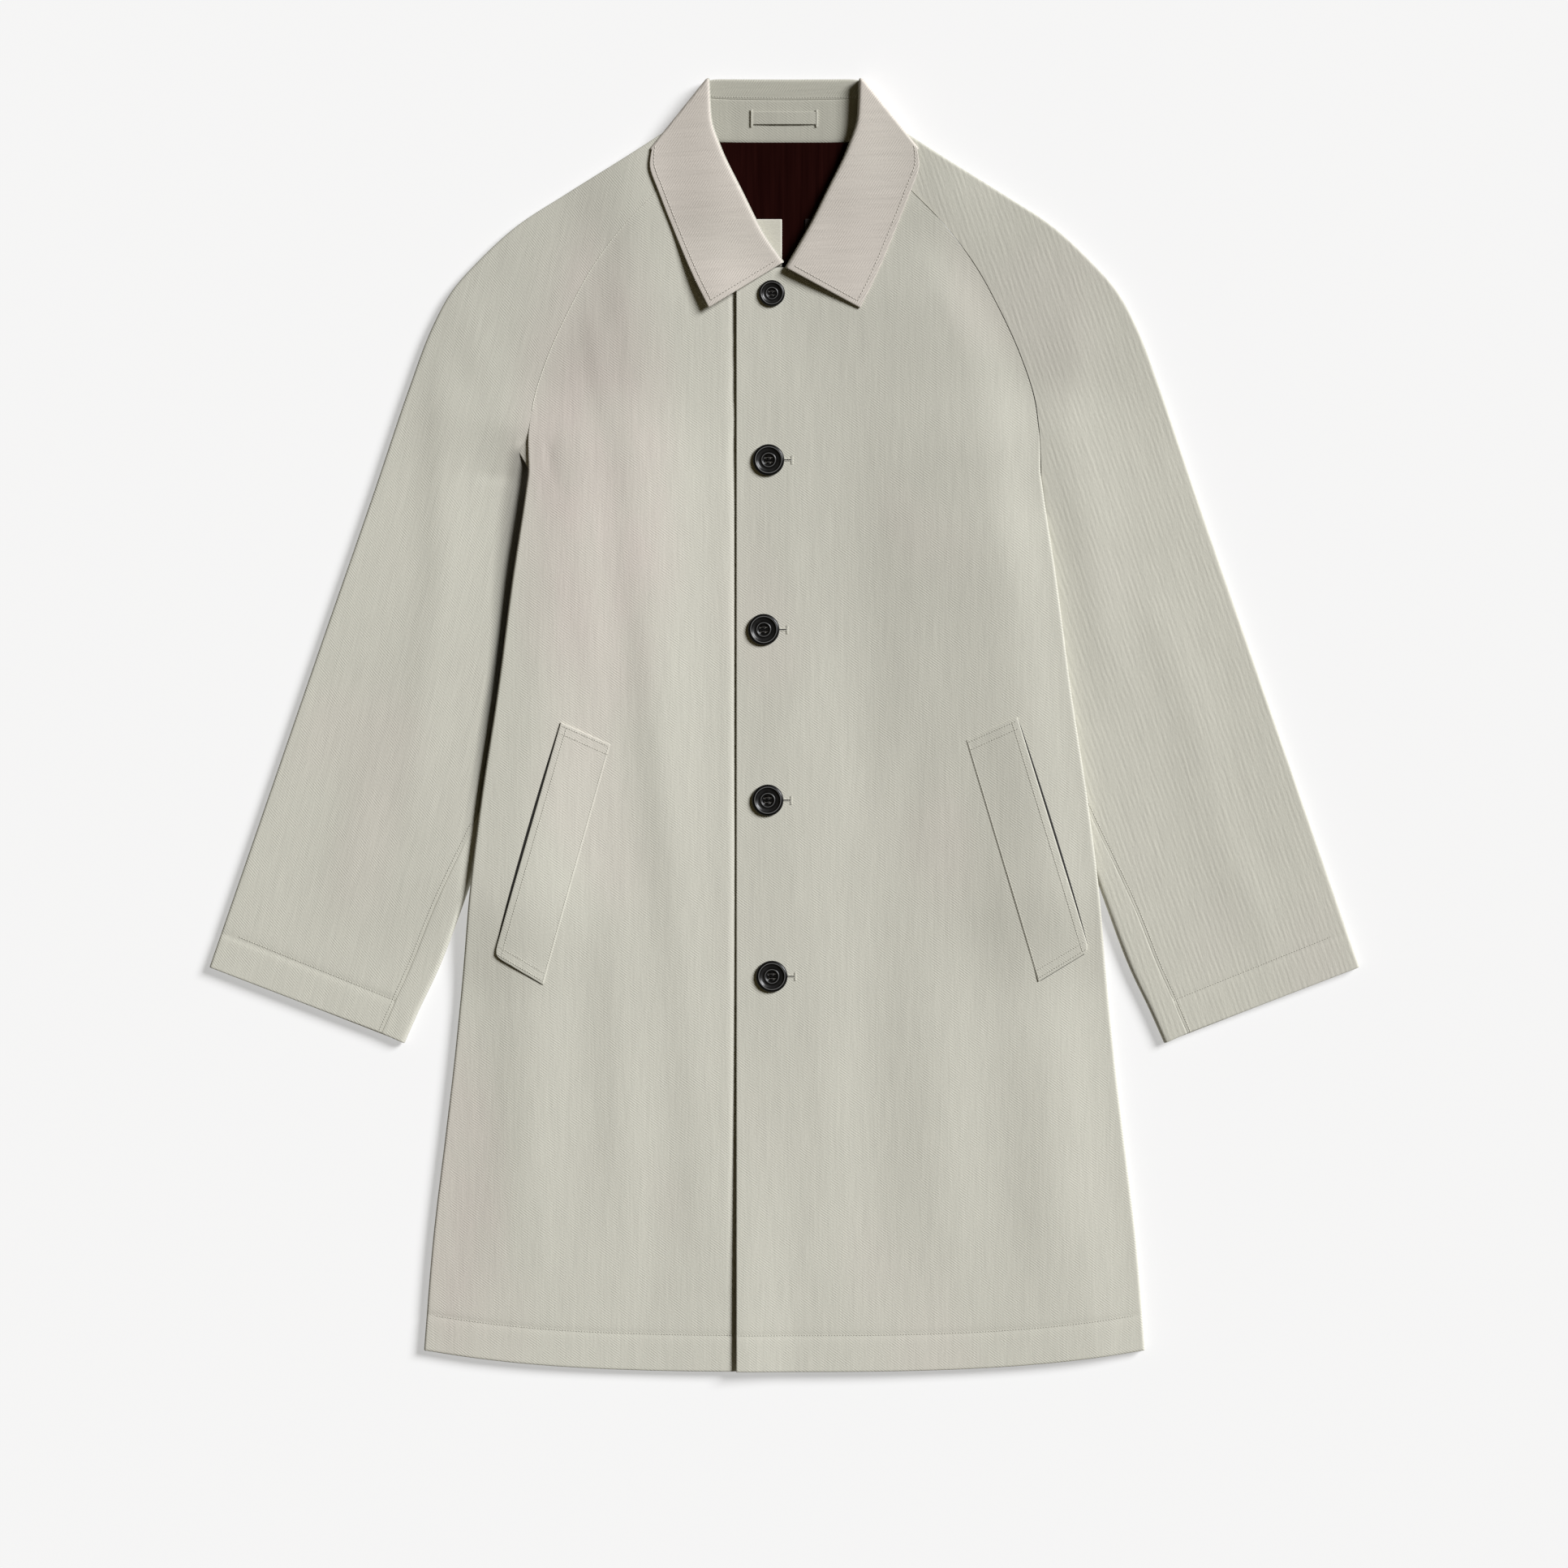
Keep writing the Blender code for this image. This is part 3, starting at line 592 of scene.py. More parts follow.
# %% Stations round the neck
COLLAR_CLOTH = 1.6
LEAF_DROP = {1: 4.5, -1: 0.0}
LEAF_SHIFT = 1.0
Station = namedtuple("Station", "roll_x roll_y edge_x edge_y lip stand turn segments")
COLLAR = [
    Station(0.0, 494.0, 0.0, 419.0, 14.0, 49.8, -90.0, 5),
    Station(48.0, 494.2, 70.0, 427.0, 14.0, 50.3, -90.0, 5),
    Station(57.0, 493.2, 101.4, 438.8, 14.0, 51.0, -90.0, 16),
    Station(57.0, 493.2, 101.4, 438.8, 14.0, 51.0, 90.0, 5),
    Station(55.5, 465.0, 103.0, 427.0, 12.0, 39.0, 90.0, 5),
    Station(48.0, 441.0, 95.5, 405.2, 11.0, 37.0, 90.0, 6),
    Station(32.0, 408.0, 84.3, 376.7, 10.0, 32.0, 90.0, 6),
    Station(16.0, 376.5, 69.6, 341.9, 8.0, 24.0, 90.0, 5),
    Station(1.0, 353.5, 57.8, 318.1, 6.0, 14.0, 90.0, 0),
]
STATIONS = np.array(COLLAR, float)[:, :6]


def calm_slopes(rows):
    """Slopes through rows of values that never overshoot: flat wherever a value turns back."""
    steps = np.diff(rows, axis=0)
    before = steps[:-1]
    after = steps[1:]
    total = np.where(before * after > 0, before + after, 1.0)
    middle = np.where(before * after > 0, 2 * before * after / total, 0.0)
    return np.concatenate([steps[:1], middle, steps[-1:]])


STATION_SLOPES = calm_slopes(STATIONS)
COLLAR_END = len(COLLAR) - 1


def collar_station(place, side=1):
    """The collar's row at a place between stations, and the turn of its section there."""
    first = min(int(place), COLLAR_END - 1)
    part = place - first
    row = bend(STATIONS[first], STATIONS[first + 1], STATION_SLOPES[first], STATION_SLOPES[first + 1], part)
    row[:2] = row[:2] - np.array([LEAF_SHIFT, LEAF_DROP[side]]) * ease(COLLAR_END - 1, COLLAR_END, place)
    return row, math.radians(COLLAR[first].turn + part * (COLLAR[first + 1].turn - COLLAR[first].turn))


print("collar stations", len(COLLAR))

# %% [markdown]
# At each station a section is drawn: lip, roll and leaf for the fall, and a plain strip for the stand.
# A real collar has some spring in it. The right leaf's point stands up a little and throws a soft
# shadow, and the left leaf swells along its roll, so each side has its own small lifts.

# %% Sections of the collar
BACK_LEAF = COLLAR_CLOTH / 2
EAR_BULGE = 0.25
LEAF_SPRING = {1: 0.4, -1: -0.8}
POINT_SPRING = {1: 0.5, -1: 4.4}
ROLL_SPRING = {1: 3.2, -1: 0.0}
POINT_UP = (385.0, 325.0)
ROLL_UP = (400.0, 345.0)
ROLL_ACROSS = (1.0, 0.1)
LEAF_LAP = (95.0, 45.0)


def leaf_height(x, y):
    """The middle of the leaf's wall where it lies on the fronts."""
    return back_height(x, y) + LAYER_RISE + LAP_RISE * ease(*LEAF_LAP, np.abs(x)) + LEAF_RISE


def collar_point(row, turn, width, level, side=1):
    """A point of the collar: width runs from the roll to the edge, level from stand (0) to fall (1)."""
    roll = row[:2]
    edge = row[2:4]
    leaf = np.linalg.norm(edge - roll)
    along = (edge - roll) / leaf
    outward = np.array([-along[1], along[0]])
    spot = roll + along * width
    stand_back = CLOTH / 2 + NECK_LIFT
    low = stand_back + (BACK_LEAF - stand_back) * level
    stand_front = back_height(spot[0], spot[1]) + LAYER_RISE
    high = stand_front + (leaf_height(spot[0], spot[1]) - stand_front) * level
    spring = LEAF_SPRING[side] + POINT_SPRING[side] * ease(*POINT_UP, spot[1])
    spring = spring * ease(0.0, 1.0, width / leaf)
    spring = spring + ROLL_SPRING[side] * ease(*ROLL_UP, spot[1]) * ease(*ROLL_ACROSS, width / leaf)
    spring = spring * level * ease(0.0, HALF_TURN, turn)
    middle = (high + low) / 2
    reach = (high - low) / 2
    spot = spot + outward * reach * math.cos(turn) * EAR_BULGE
    return spot[0], spot[1], middle + reach * math.sin(turn) + spring


def roll_start(row, turn):
    """The radius of the roll, and where the flat of the collar starts beside it."""
    rise = LEAF_RISE + LAP_RISE * float(ease(*LEAF_LAP, row[0])) * float(ease(0, HALF_TURN, turn))
    return rise / 2, rise / 2 + COLLAR_CLOTH / 2


STAND_GAP = -0.4
STAND_LEAST = 2.0
STAND_PARTS = np.array([0.0, 0.03, 0.2, 0.4, 0.6, 0.8, 1.0])
ROLL_STEPS = 9
LIP_PARTS = (1.0, 0.93, 0.7, 0.4, 0.15)
LEAF_PARTS = (0.06, 0.14, 0.24, 0.34, 0.44, 0.54, 0.64, 0.74, 0.83, 0.9, 0.945, 0.985, 1.0)
END_PLACE = COLLAR_END - 0.035
collar_places = []
for index, station in enumerate(COLLAR[:-1]):
    collar_places += [index + step / station.segments for step in range(station.segments)]
collar_places += [END_PLACE, COLLAR_END]


def collar_sections(side):
    """The sections of the fall and the stand along one half of the collar."""
    fall, stand = [], []
    for place in collar_places:
        row, turn = collar_station(place, side)
        radius, start = roll_start(row, turn)
        leaf = np.linalg.norm(row[2:4] - row[:2])
        section = [(start + row[4] * part, 0.0) for part in LIP_PARTS]
        for angle in np.linspace(-HALF_TURN, HALF_TURN, ROLL_STEPS):
            section.append((start - radius * math.cos(angle), 0.5 + 0.5 * math.sin(angle)))
        section += [(start + (leaf - start) * part, 1.0) for part in LEAF_PARTS]
        fall.append([collar_point(row, turn, width, level, side) for width, level in section])
        near = start + row[4] + STAND_GAP
        far = max(row[5], near + STAND_LEAST)
        widths = near + (far - near) * STAND_PARTS
        stand.append([collar_point(row, turn, width, 0.0) for width in widths])
    return mirrored(np.array(fall), side), mirrored(np.array(stand), side)


for name, right, left in zip(("collar_fall", "collar_stand"), collar_sections(-1), collar_sections(1)):
    grids[name] = np.concatenate([right[:0:-1], left])
print("collar grid", grids["collar_fall"].shape)

# %% [markdown]
# Shader maths reads best as plain sums. One small class holds a socket, and each operator adds the
# Math node that it stands for. Any other node comes from a single method that takes the node's type,
# its settings and its sockets.

# %% A class for shader values
NOISE_SPREAD = 3.0


class Value:
    """A socket in a material. Arithmetic on values adds Math nodes."""

    def __init__(self, tree, socket=None):
        self.tree = tree
        self.socket = socket

    def node(self, kind, settings, sockets, output=0):
        """Any node: its settings are set first, then a value or a link for each socket."""
        made = self.tree.nodes.new("ShaderNode" + kind)
        for key, value in settings.items():
            setattr(made, key, value)
        for key, value in sockets.items():
            if isinstance(value, Value):
                self.tree.links.new(value.socket, made.inputs[key])
            else:
                made.inputs[key].default_value = value
        return Value(self.tree, made.outputs[output])

    def maths(self, operation, first, second=0.0):
        return self.node("Math", {"operation": operation}, {0: first, 1: second})

    def __add__(self, other):
        return self.maths("ADD", self, other)

    __radd__ = __add__

    def __sub__(self, other):
        return self.maths("SUBTRACT", self, other)

    def __rsub__(self, other):
        return self.maths("SUBTRACT", other, self)

    def __mul__(self, other):
        return self.maths("MULTIPLY", self, other)

    __rmul__ = __mul__

    def __truediv__(self, other):
        return self.maths("DIVIDE", self, other)

    def wave(self):
        return self.maths("SINE", self)

    def size(self):
        return self.maths("ABSOLUTE", self)

    def mask(self, low, high):
        """0 below low and 1 above high, smooth between; low may be the larger."""
        limits = {"Value": self, "From Min": low, "From Max": high}
        return self.node("MapRange", {"interpolation_type": "SMOOTHSTEP"}, limits)

    def noise(self, across, along, x_size, y_size, detail=2.0):
        """Soft noise, stretched to the given sizes, from about -1 to 1."""
        spot = self.node("CombineXYZ", {}, {0: across / x_size, 1: along / y_size})
        sockets = {"Vector": spot, "Scale": 1.0, "Detail": detail}
        made = self.node("TexNoise", {"noise_dimensions": "2D"}, sockets)
        return (made - 0.5) * NOISE_SPREAD

    def mix(self, factor, first, second):
        """A colour between two colours."""
        return self.node("Mix", {"data_type": "RGBA"}, {0: factor, 6: first, 7: second}, 2)

    def shaded(self, amount):
        """A colour made lighter or darker by an amount."""
        return self.node("VectorMath", {"operation": "SCALE"}, {0: self, 3: amount})


def new_material(name):
    """A node material, a Value to start from, and its shader."""
    made = bpy.data.materials.new(name)
    made.use_nodes = True
    return made, Value(made.node_tree), made.node_tree.nodes["Principled BSDF"]


def feed(value, shader, socket):
    """Links a value to one of the shader's sockets."""
    value.tree.links.new(value.socket, shader.inputs[socket])


def first_two(start, vector):
    """The first two parts of a vector, as values."""
    return [start.node("SeparateXYZ", {}, {"Vector": vector}, output) for output in (0, 1)]


def cloth_grain(start):
    """Across and along the cloth, in metres, from the map that every cloth piece carries."""
    return first_two(start, start.node("UVMap", {"uv_map": "Cloth"}, {}))


def place_of(start):
    """The place on the piece, in metres from the middle of the coat."""
    return start.node("TexCoord", {}, {}, 3)


def relief(start, height, distance, strength, shader):
    """A bump in metres that feeds the shader's normal."""
    bump = start.node("Bump", {}, {"Height": height, "Distance": distance, "Strength": strength})
    feed(bump, shader, "Normal")


print("shader tools ready")

# %% [markdown]
# The cloth is a fine wool twill: diagonal ribs about a millimetre and a half apart, broken up where
# yarns run thick or thin, with faint streaks along the warp and a very slight warm cast in places.
# A photographed weave would be an image; a sine across the ribs with noise along the yarns is
# sharper at any distance and follows each piece's own grain.

# %% Colours of the wool
Wool = namedtuple("Wool", "colour warm lean pitch rib")
COAT_WOOL = Wool((0.553, 0.541, 0.468), (0.575, 0.523, 0.470), -36.0, 1.62, 0.14)
WOOLS = {
    "coat_wool": COAT_WOOL,
    "sleeve_wool": Wool((0.548, 0.535, 0.462), (0.555, 0.518, 0.468), -84.0, 3.9, 0.065),
    # The coat's wool with the hollow's shade painted in, for the sleeve under the right arm.
    "underarm_wool_painted_shade": COAT_WOOL,
    # The collar's wool has its own pinker tone, and is painted a little lighter as well: painted light
    # where its tilted leaves turn from the lamp.
    "collar_wool": Wool((0.588, 0.539, 0.483), (0.572, 0.548, 0.483), -36.0, 1.62, 0.16),
    # The coat's wool painted a quarter darker: painted shade on the stand, the lip inside the collar and
    # the hanging loop.
    "stand_wool_painted_shade": Wool((0.415, 0.405, 0.344), (0.415, 0.402, 0.345), -36.0, 1.62, 0.14),
}
print("wools", list(WOOLS))

# %% [markdown]
# Broad soft patches of the cloth are painted a little darker or lighter: painted shade on the shoulders,
# the left chest, the left sleeve's outer side and low on the right side, and painted light on the
# collar's right leaf. A few are painted warmer, a cast in the wool's own colour. Under the right arm
# the sleeve dips into a deep hollow, where hardly any light comes back, and that shade is painted in too.
# Both are placed in metres on the coat and tint only the wool's own colour.

# %% Patches and the hollow
ShadeAndCastPatch = namedtuple("ShadeAndCastPatch", "x y wide high light warm")
# Painted shade and painted light: each patch's light share darkens or lightens the wool's colour; its warm
# share is a cast.
PAINTED_SHADE_AND_CAST = [
    ShadeAndCastPatch(-0.19, 0.38, 0.22, 0.24, -0.09, 0.0),
    ShadeAndCastPatch(0.19, 0.38, 0.22, 0.24, -0.085, 0.0),
    ShadeAndCastPatch(0.08, 0.25, 0.16, 0.30, -0.04, 0.0),
    ShadeAndCastPatch(-0.145, 0.18, 0.08, 0.24, 0.0, 0.7),
    ShadeAndCastPatch(-0.26, -0.36, 0.06, 0.16, -0.02, 0.6),
    ShadeAndCastPatch(0.40, -0.05, 0.12, 0.25, -0.03, 0.0),
    ShadeAndCastPatch(-0.065, 0.40, 0.07, 0.10, 0.07, 0.0),
]


def painted_shade_and_cast_of(start):
    """The broad patches of painted shade, painted light and warm cast, placed over the whole coat."""
    x, y = first_two(start, place_of(start))
    light = 1.0
    warm = 0.0
    for tone in PAINTED_SHADE_AND_CAST:
        across = (x - tone.x) / tone.wide
        up = (y - tone.y) / tone.high
        patch_weight = (across * across + up * up).mask(1.0, 0.0)
        light = patch_weight * tone.light + light
        warm = patch_weight * tone.warm + warm
    return light, warm


# The hollow's shade is painted into the sleeve's colour, as a dark band along the body's edge.
HOLLOW_EDGE = Spot(-0.1956, 0.194)
HOLLOW_LEAN = 0.1688
HOLLOW_WIDTH = 0.006
HOLLOW_FLARE = 0.016
HOLLOW_PAINTED_SHADE = 0.76
HOLLOW_TOP = (0.216, 0.206)
HOLLOW_FOOT = (-0.14, 0.06)
HOLLOW_FLARES = (0.02, 0.18)


def painted_hollow_shade_of(start):
    """Painted shade in the hollow under the right arm: darkest beside the body, fading onto the sleeve."""
    x, y = first_two(start, place_of(start))
    away = HOLLOW_EDGE.x - x - (HOLLOW_EDGE.y - y) * HOLLOW_LEAN
    ends = y.mask(*HOLLOW_TOP) * y.mask(*HOLLOW_FOOT)
    width = y.mask(*HOLLOW_FLARES) * HOLLOW_FLARE + HOLLOW_WIDTH
    return 1.0 - (away / width).mask(1.0, 0.0) * ends * HOLLOW_PAINTED_SHADE


print("patches", len(PAINTED_SHADE_AND_CAST))

# %% [markdown]
# The weave is put together from a few layers: the ribs, which wander a little and break, the yarns
# that cross them, streaks along the warp, short thick slubs, and a warm cast that comes and goes.
# Each layer's noise is a row with its size across and along the cloth, in metres.

# %% Wool twill
Mottle = namedtuple("Mottle", "x_size y_size detail")
WANDER = Mottle(0.011, 0.016, 1.0)
YARN = Mottle(0.0021, 0.0008, 2.0)
BREAKS = Mottle(0.007, 0.014, 2.0)
STREAK = Mottle(0.0042, 0.085, 3.0)
SLUB = Mottle(0.0014, 0.028, 2.0)
CAST = Mottle(0.11, 0.19, 1.0)
BLOTCH = Mottle(0.022, 0.05, 1.0)
RIB_WANDER = 0.9
BREAK_RANGE = (-0.75, 0.55)
CAST_RANGE = (0.05, 0.9)
CAST_SHARE = 0.3
BLOTCH_SHARE = 0.35
YARN_SHADE = 0.055
STREAK_SHADE = 0.034
SLUB_SHADE = 0.045
TWILL_DEPTH = 0.00012
TWILL_STRENGTH = 0.55


def wool_twill(name, wool):
    """A wool look; on the sleeve beside the hollow, shade is painted into its colour as well."""
    made, start, shader = new_material(name)
    across, along = cloth_grain(start)
    lean = math.radians(wool.lean)
    rib_along = across * math.cos(lean) + along * math.sin(lean)
    rib_across = along * math.cos(lean) - across * math.sin(lean)
    wander = start.noise(across, along, *WANDER)
    rib = (rib_across * (2 * math.pi / (wool.pitch * MM)) + wander * RIB_WANDER).wave()
    yarn = start.noise(rib_along, rib_across, *YARN)
    broken = start.noise(across, along, *BREAKS).mask(*BREAK_RANGE)
    streak = start.noise(across, along, *STREAK)
    slub = start.noise(across, along, *SLUB)
    cast = start.noise(across, along, *CAST).mask(*CAST_RANGE)
    rib = rib * broken
    light = rib * wool.rib + yarn * YARN_SHADE + streak * STREAK_SHADE + slub * SLUB_SHADE + 1.0
    shade, warm = painted_shade_and_cast_of(start)
    # Only the underarm look has the hollow's shade painted into its colour.
    if name == "underarm_wool_painted_shade":
        shade = shade * painted_hollow_shade_of(start)
    blotch = start.noise(across, along, *BLOTCH) * BLOTCH_SHARE + 1.0
    colour = start.mix(cast * CAST_SHARE + warm * blotch, (*wool.colour, 1.0), (*wool.warm, 1.0))
    feed(colour.shaded(light * shade), shader, "Base Color")
    feed(0.86 - yarn * 0.06, shader, "Roughness")
    relief(start, rib * 0.5 + yarn * 0.4 + slub * 0.2, TWILL_DEPTH, TWILL_STRENGTH, shader)
    shader.inputs["Specular IOR Level"].default_value = 0.25
    shader.inputs["Sheen Weight"].default_value = 0.12
    shader.inputs["Sheen Roughness"].default_value = 0.45
    return made


looks = {name: wool_twill(name, wool) for name, wool in WOOLS.items()}
print("wool", list(looks))

# %% [markdown]
# The lining is a dark wine satin, and the two bare labels are woven tape. Satin shows long soft
# streaks and a low gloss; tape shows fine ribs across and a firm selvedge at its edge.

# %% Lining and labels
SATIN_THREAD = 0.0009
SATIN_STREAK = Mottle(0.003, 0.09, 2.0)
SATIN_DARK = (0.0105, 0.0024, 0.002, 1.0)
SATIN_LIGHT = (0.0135, 0.0032, 0.0026, 1.0)
TAPE_RIB = 0.0007
TAPE_YARN = Mottle(0.003, 0.0009, 2.0)
SELVEDGE = (0.9, 0.94)


def satin_lining():
    """Dark satin: close threads across, and long soft streaks."""
    made, start, shader = new_material("lining_satin")
    across, along = cloth_grain(start)
    thread = (across * (2 * math.pi / SATIN_THREAD)).wave()
    streak = start.noise(across, along, *SATIN_STREAK)
    light = streak * 0.16 + thread * 0.05 + 1.0
    colour = start.mix(streak.mask(-0.8, 0.9), SATIN_DARK, SATIN_LIGHT)
    feed(colour.shaded(light), shader, "Base Color")
    feed(0.52 + streak * 0.06, shader, "Roughness")
    relief(start, thread * 0.3 + streak * 0.5, 0.0001, 0.4, shader)
    shader.inputs["Specular IOR Level"].default_value = 0.0
    return made


def woven_tape(name, colour, edge_colour):
    """Woven tape: fine ribs across, and a selvedge of another colour."""
    made, start, shader = new_material(name)
    across, along = cloth_grain(start)
    rib = (along * (2 * math.pi / TAPE_RIB)).wave()
    yarn = start.noise(across, along, *TAPE_YARN)
    edge = first_two(start, start.node("UVMap", {"uv_map": "Edge"}, {}))
    rim_x, rim_y = [part.size() for part in edge]
    selvedge = rim_x.maths("MAXIMUM", rim_x.mask(*SELVEDGE), rim_y.mask(*SELVEDGE))
    face = start.mix(selvedge, (*colour, 1.0), (*edge_colour, 1.0))
    feed(face.shaded(rib * 0.05 + yarn * 0.06 + 1.0), shader, "Base Color")
    feed(0.75 + yarn * 0.05, shader, "Roughness")
    relief(start, rib * 0.4 + yarn * 0.4 + selvedge * 0.6, 0.00012, 0.5, shader)
    return made


looks["lining"] = satin_lining()
looks["pale_label"] = woven_tape("label_tape_pale", (0.565, 0.545, 0.465), (0.67, 0.655, 0.58))
looks["dark_label"] = woven_tape("label_tape_dark", (0.010, 0.0045, 0.0042), (0.022, 0.012, 0.011))
print("inside looks ready")

# %% [markdown]
# Each shell is the grid of its middle surface, thickened by Solidify and rounded by one level of
# Subdivision. A second set of points, the grain map, lays the weave on it in metres. The cloth was
# flat when it was cut and still is, so its cut is the unrolled grid, and that is what is measured.

# %% From grid to cloth
INSIDE_COLUMNS = len(LIP_PARTS) + 6


def grain_of(grid, lean):
    """Where each point lies on the bolt, in metres; lean is the turn of the grain on the page."""
    turn = math.radians(lean)
    across = grid[..., 0] * math.cos(turn) + grid[..., 1] * math.sin(turn)
    along = grid[..., 1] * math.cos(turn) - grid[..., 0] * math.sin(turn)
    return np.stack([across, along], axis=-1) * MM


def cloth_shell(name, grid, thickness, look, lean=0.0, edge_map=False, inside=None):
    """A wall of cloth round the grid of its middle surface, with its grain map.

    An edge map runs from -1 to 1 both ways. The look inside is for the columns before the roll.
    """
    rows, columns = grid.shape[:2]
    corner = np.arange(rows * columns).reshape(rows, columns)
    around = [corner[:-1, :-1], corner[:-1, 1:], corner[1:, 1:], corner[1:, :-1]]
    quads = np.stack(around, axis=-1).reshape(-1, 4)
    mesh = bpy.data.meshes.new(name)
    mesh.from_pydata((grid.reshape(-1, 3) * MM).tolist(), [], quads.tolist())
    maps = {"Cloth": grain_of(grid, lean)}
    if edge_map:
        spread = np.meshgrid(np.linspace(-1, 1, columns), np.linspace(-1, 1, rows))
        maps["Edge"] = np.stack(spread, axis=-1)
    for map_name, points in maps.items():
        layer = mesh.uv_layers.new(name=map_name)
        layer.data.foreach_set("uv", points.reshape(-1, 2)[quads.ravel()].ravel())
    mesh.polygons.foreach_set("use_smooth", [True] * len(quads))
    mesh.materials.append(looks[look])
    if inside:
        mesh.materials.append(looks[inside])
        is_inside = np.tile(np.arange(columns - 1) < INSIDE_COLUMNS, rows - 1)
        mesh.polygons.foreach_set("material_index", is_inside.astype(np.int32))
    piece = bpy.data.objects.new(name, mesh)
    coat.objects.link(piece)
    wall = piece.modifiers.new("wall", "SOLIDIFY")
    wall.thickness = thickness * MM
    wall.offset = 0.0
    rounding = piece.modifiers.new("rounding", "SUBSURF")
    rounding.levels = rounding.render_levels = 1
    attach(piece, BODY)
    return piece


Cut = namedtuple("Cut", "flat area")


def cut_of(grid):
    """The width, length and area of a piece's cut, in metres, from its unrolled middle surface."""
    points = grid * MM
    width = np.linalg.norm(np.diff(points, axis=1), axis=2).sum(axis=1).max()
    length = np.linalg.norm(np.diff(points, axis=0), axis=2).sum(axis=0).max()
    first = np.cross(points[1:, :-1] - points[:-1, :-1], points[:-1, 1:] - points[:-1, :-1])
    second = np.cross(points[:-1, 1:] - points[1:, 1:], points[1:, :-1] - points[1:, 1:])
    area = (np.linalg.norm(first, axis=-1) + np.linalg.norm(second, axis=-1)).sum() / 2
    flat = (round(float(width), 4), round(float(length), 4))
    return Cut(flat, round(min(float(area), flat[0] * flat[1]), 6))


print("cloth tools ready")

# %% [markdown]
# Now the cut pieces become cloth. Each row names the node that the piece stands for, its wall, look and
# grain, and what it rests on. The left sleeve's look has ribs that run along it, and the collar's warp
# is turned to run round the neck.

# %% The main pieces
Piece = namedtuple("Piece", "node thickness look slot lean rests_on inside", defaults=[None])
FRONTS = ["front_left", "front_right"]
MAIN_PIECES = [
    Piece("back_panel", CLOTH, "coat_wool", "wool", 0.0, []),
    Piece("sleeve_back_left", CLOTH, "sleeve_wool", "wool", 14.0, []),
    Piece("sleeve_back_right", CLOTH, "coat_wool", "wool", -14.0, []),
    Piece("sleeve_front_left", CLOTH, "sleeve_wool", "wool", 14.0, ["sleeve_back_left"]),
    Piece("sleeve_front_right", CLOTH, "underarm_wool_painted_shade", "wool", -14.0, ["sleeve_back_right"]),
    Piece("front_right", CLOTH, "coat_wool", "wool", 0.0, ["back_panel"]),
    Piece("front_left", CLOTH, "coat_wool", "wool", 0.0, ["front_right", "back_panel"]),
    Piece("collar_stand", COLLAR_CLOTH, "stand_wool_painted_shade", "collar_wool", 0.0, ["back_panel"]),
    Piece("collar_fall", COLLAR_CLOTH, "collar_wool", "collar_wool", 93.0, FRONTS, "stand_wool_painted_shade"),
]
shells = {}
sewn_on = {}
for piece in MAIN_PIECES:
    grid = grids[piece.node]
    name = piece.node + "_cloth"
    shell = cloth_shell(name, grid, piece.thickness, piece.look, piece.lean, inside=piece.inside)
    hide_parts(piece.node)
    shells[piece.node] = shell
    sewn_on[piece.node] = []
    print(piece.node, cut_of(grid))

# %% [markdown]
# Inside the neck lie the lining, two bare labels and the hanging loop. All are small flat strips on
# the form of what is under them. They could be cut out of one surface, but each is its own piece on
# the real coat, so each is laid as its own shell.

# %% Strips and patches
LINING_CLOTH = 1.0
LABEL_CLOTH = 1.0
LOOP_CLOTH = 1.2
LINING_GAP = 0.4
LINING_RIPPLE = 0.1
LINING_TOP = Spot(58.0, 445.3)
LINING_FOOT = Spot(100.0, 285.0)
Tag = namedtuple("Tag", "low_x high_x low_y high_y")
PALE_LABEL = Tag(-61.5, -1.8, 341.0, 386.6)
DARK_LABEL = Tag(15.8, 52.0, 352.0, 386.9)
HANGER = Tag(-25.7, 25.7, 459.0, 469.0)
HANGER_BOW = 0.6
HANGER_SIT = 0.3


def rim_parts(count, rim):
    """Even parts from 0 to 1 with one more just inside each end."""
    inside = np.linspace(0.0, 1.0, count)[1:-1]
    return np.concatenate([[0.0, rim], inside, [1.0 - rim, 1.0]])


def patch(corners, across, up):
    """A grid of places between four corners: low start, low end, high start, high end."""
    low_start, low_end, high_start, high_end = (np.array(corner, float) for corner in corners)
    across = across[None, :, None]
    up = up[:, None, None]
    low = low_start + (low_end - low_start) * across
    return low + (high_start + (high_end - high_start) * across - low) * up


def tag_corners(tag):
    """The four corners of a tag, in the order that a patch takes them."""
    low = [(tag.low_x, tag.low_y), (tag.high_x, tag.low_y)]
    return low + [(tag.low_x, tag.high_y), (tag.high_x, tag.high_y)]


def add_strip(node, grid, thickness, look, slot, rests_on, edge_map=False):
    """A strip that stands for a node of the same name."""
    grids[node] = grid
    shell = cloth_shell(node + "_cloth", grid, thickness, look, 0.0, edge_map)
    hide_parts(node)
    shells[node] = shell
    sewn_on[node] = []
    MAIN_PIECES.append(Piece(node, thickness, look, slot, 0.0, rests_on))


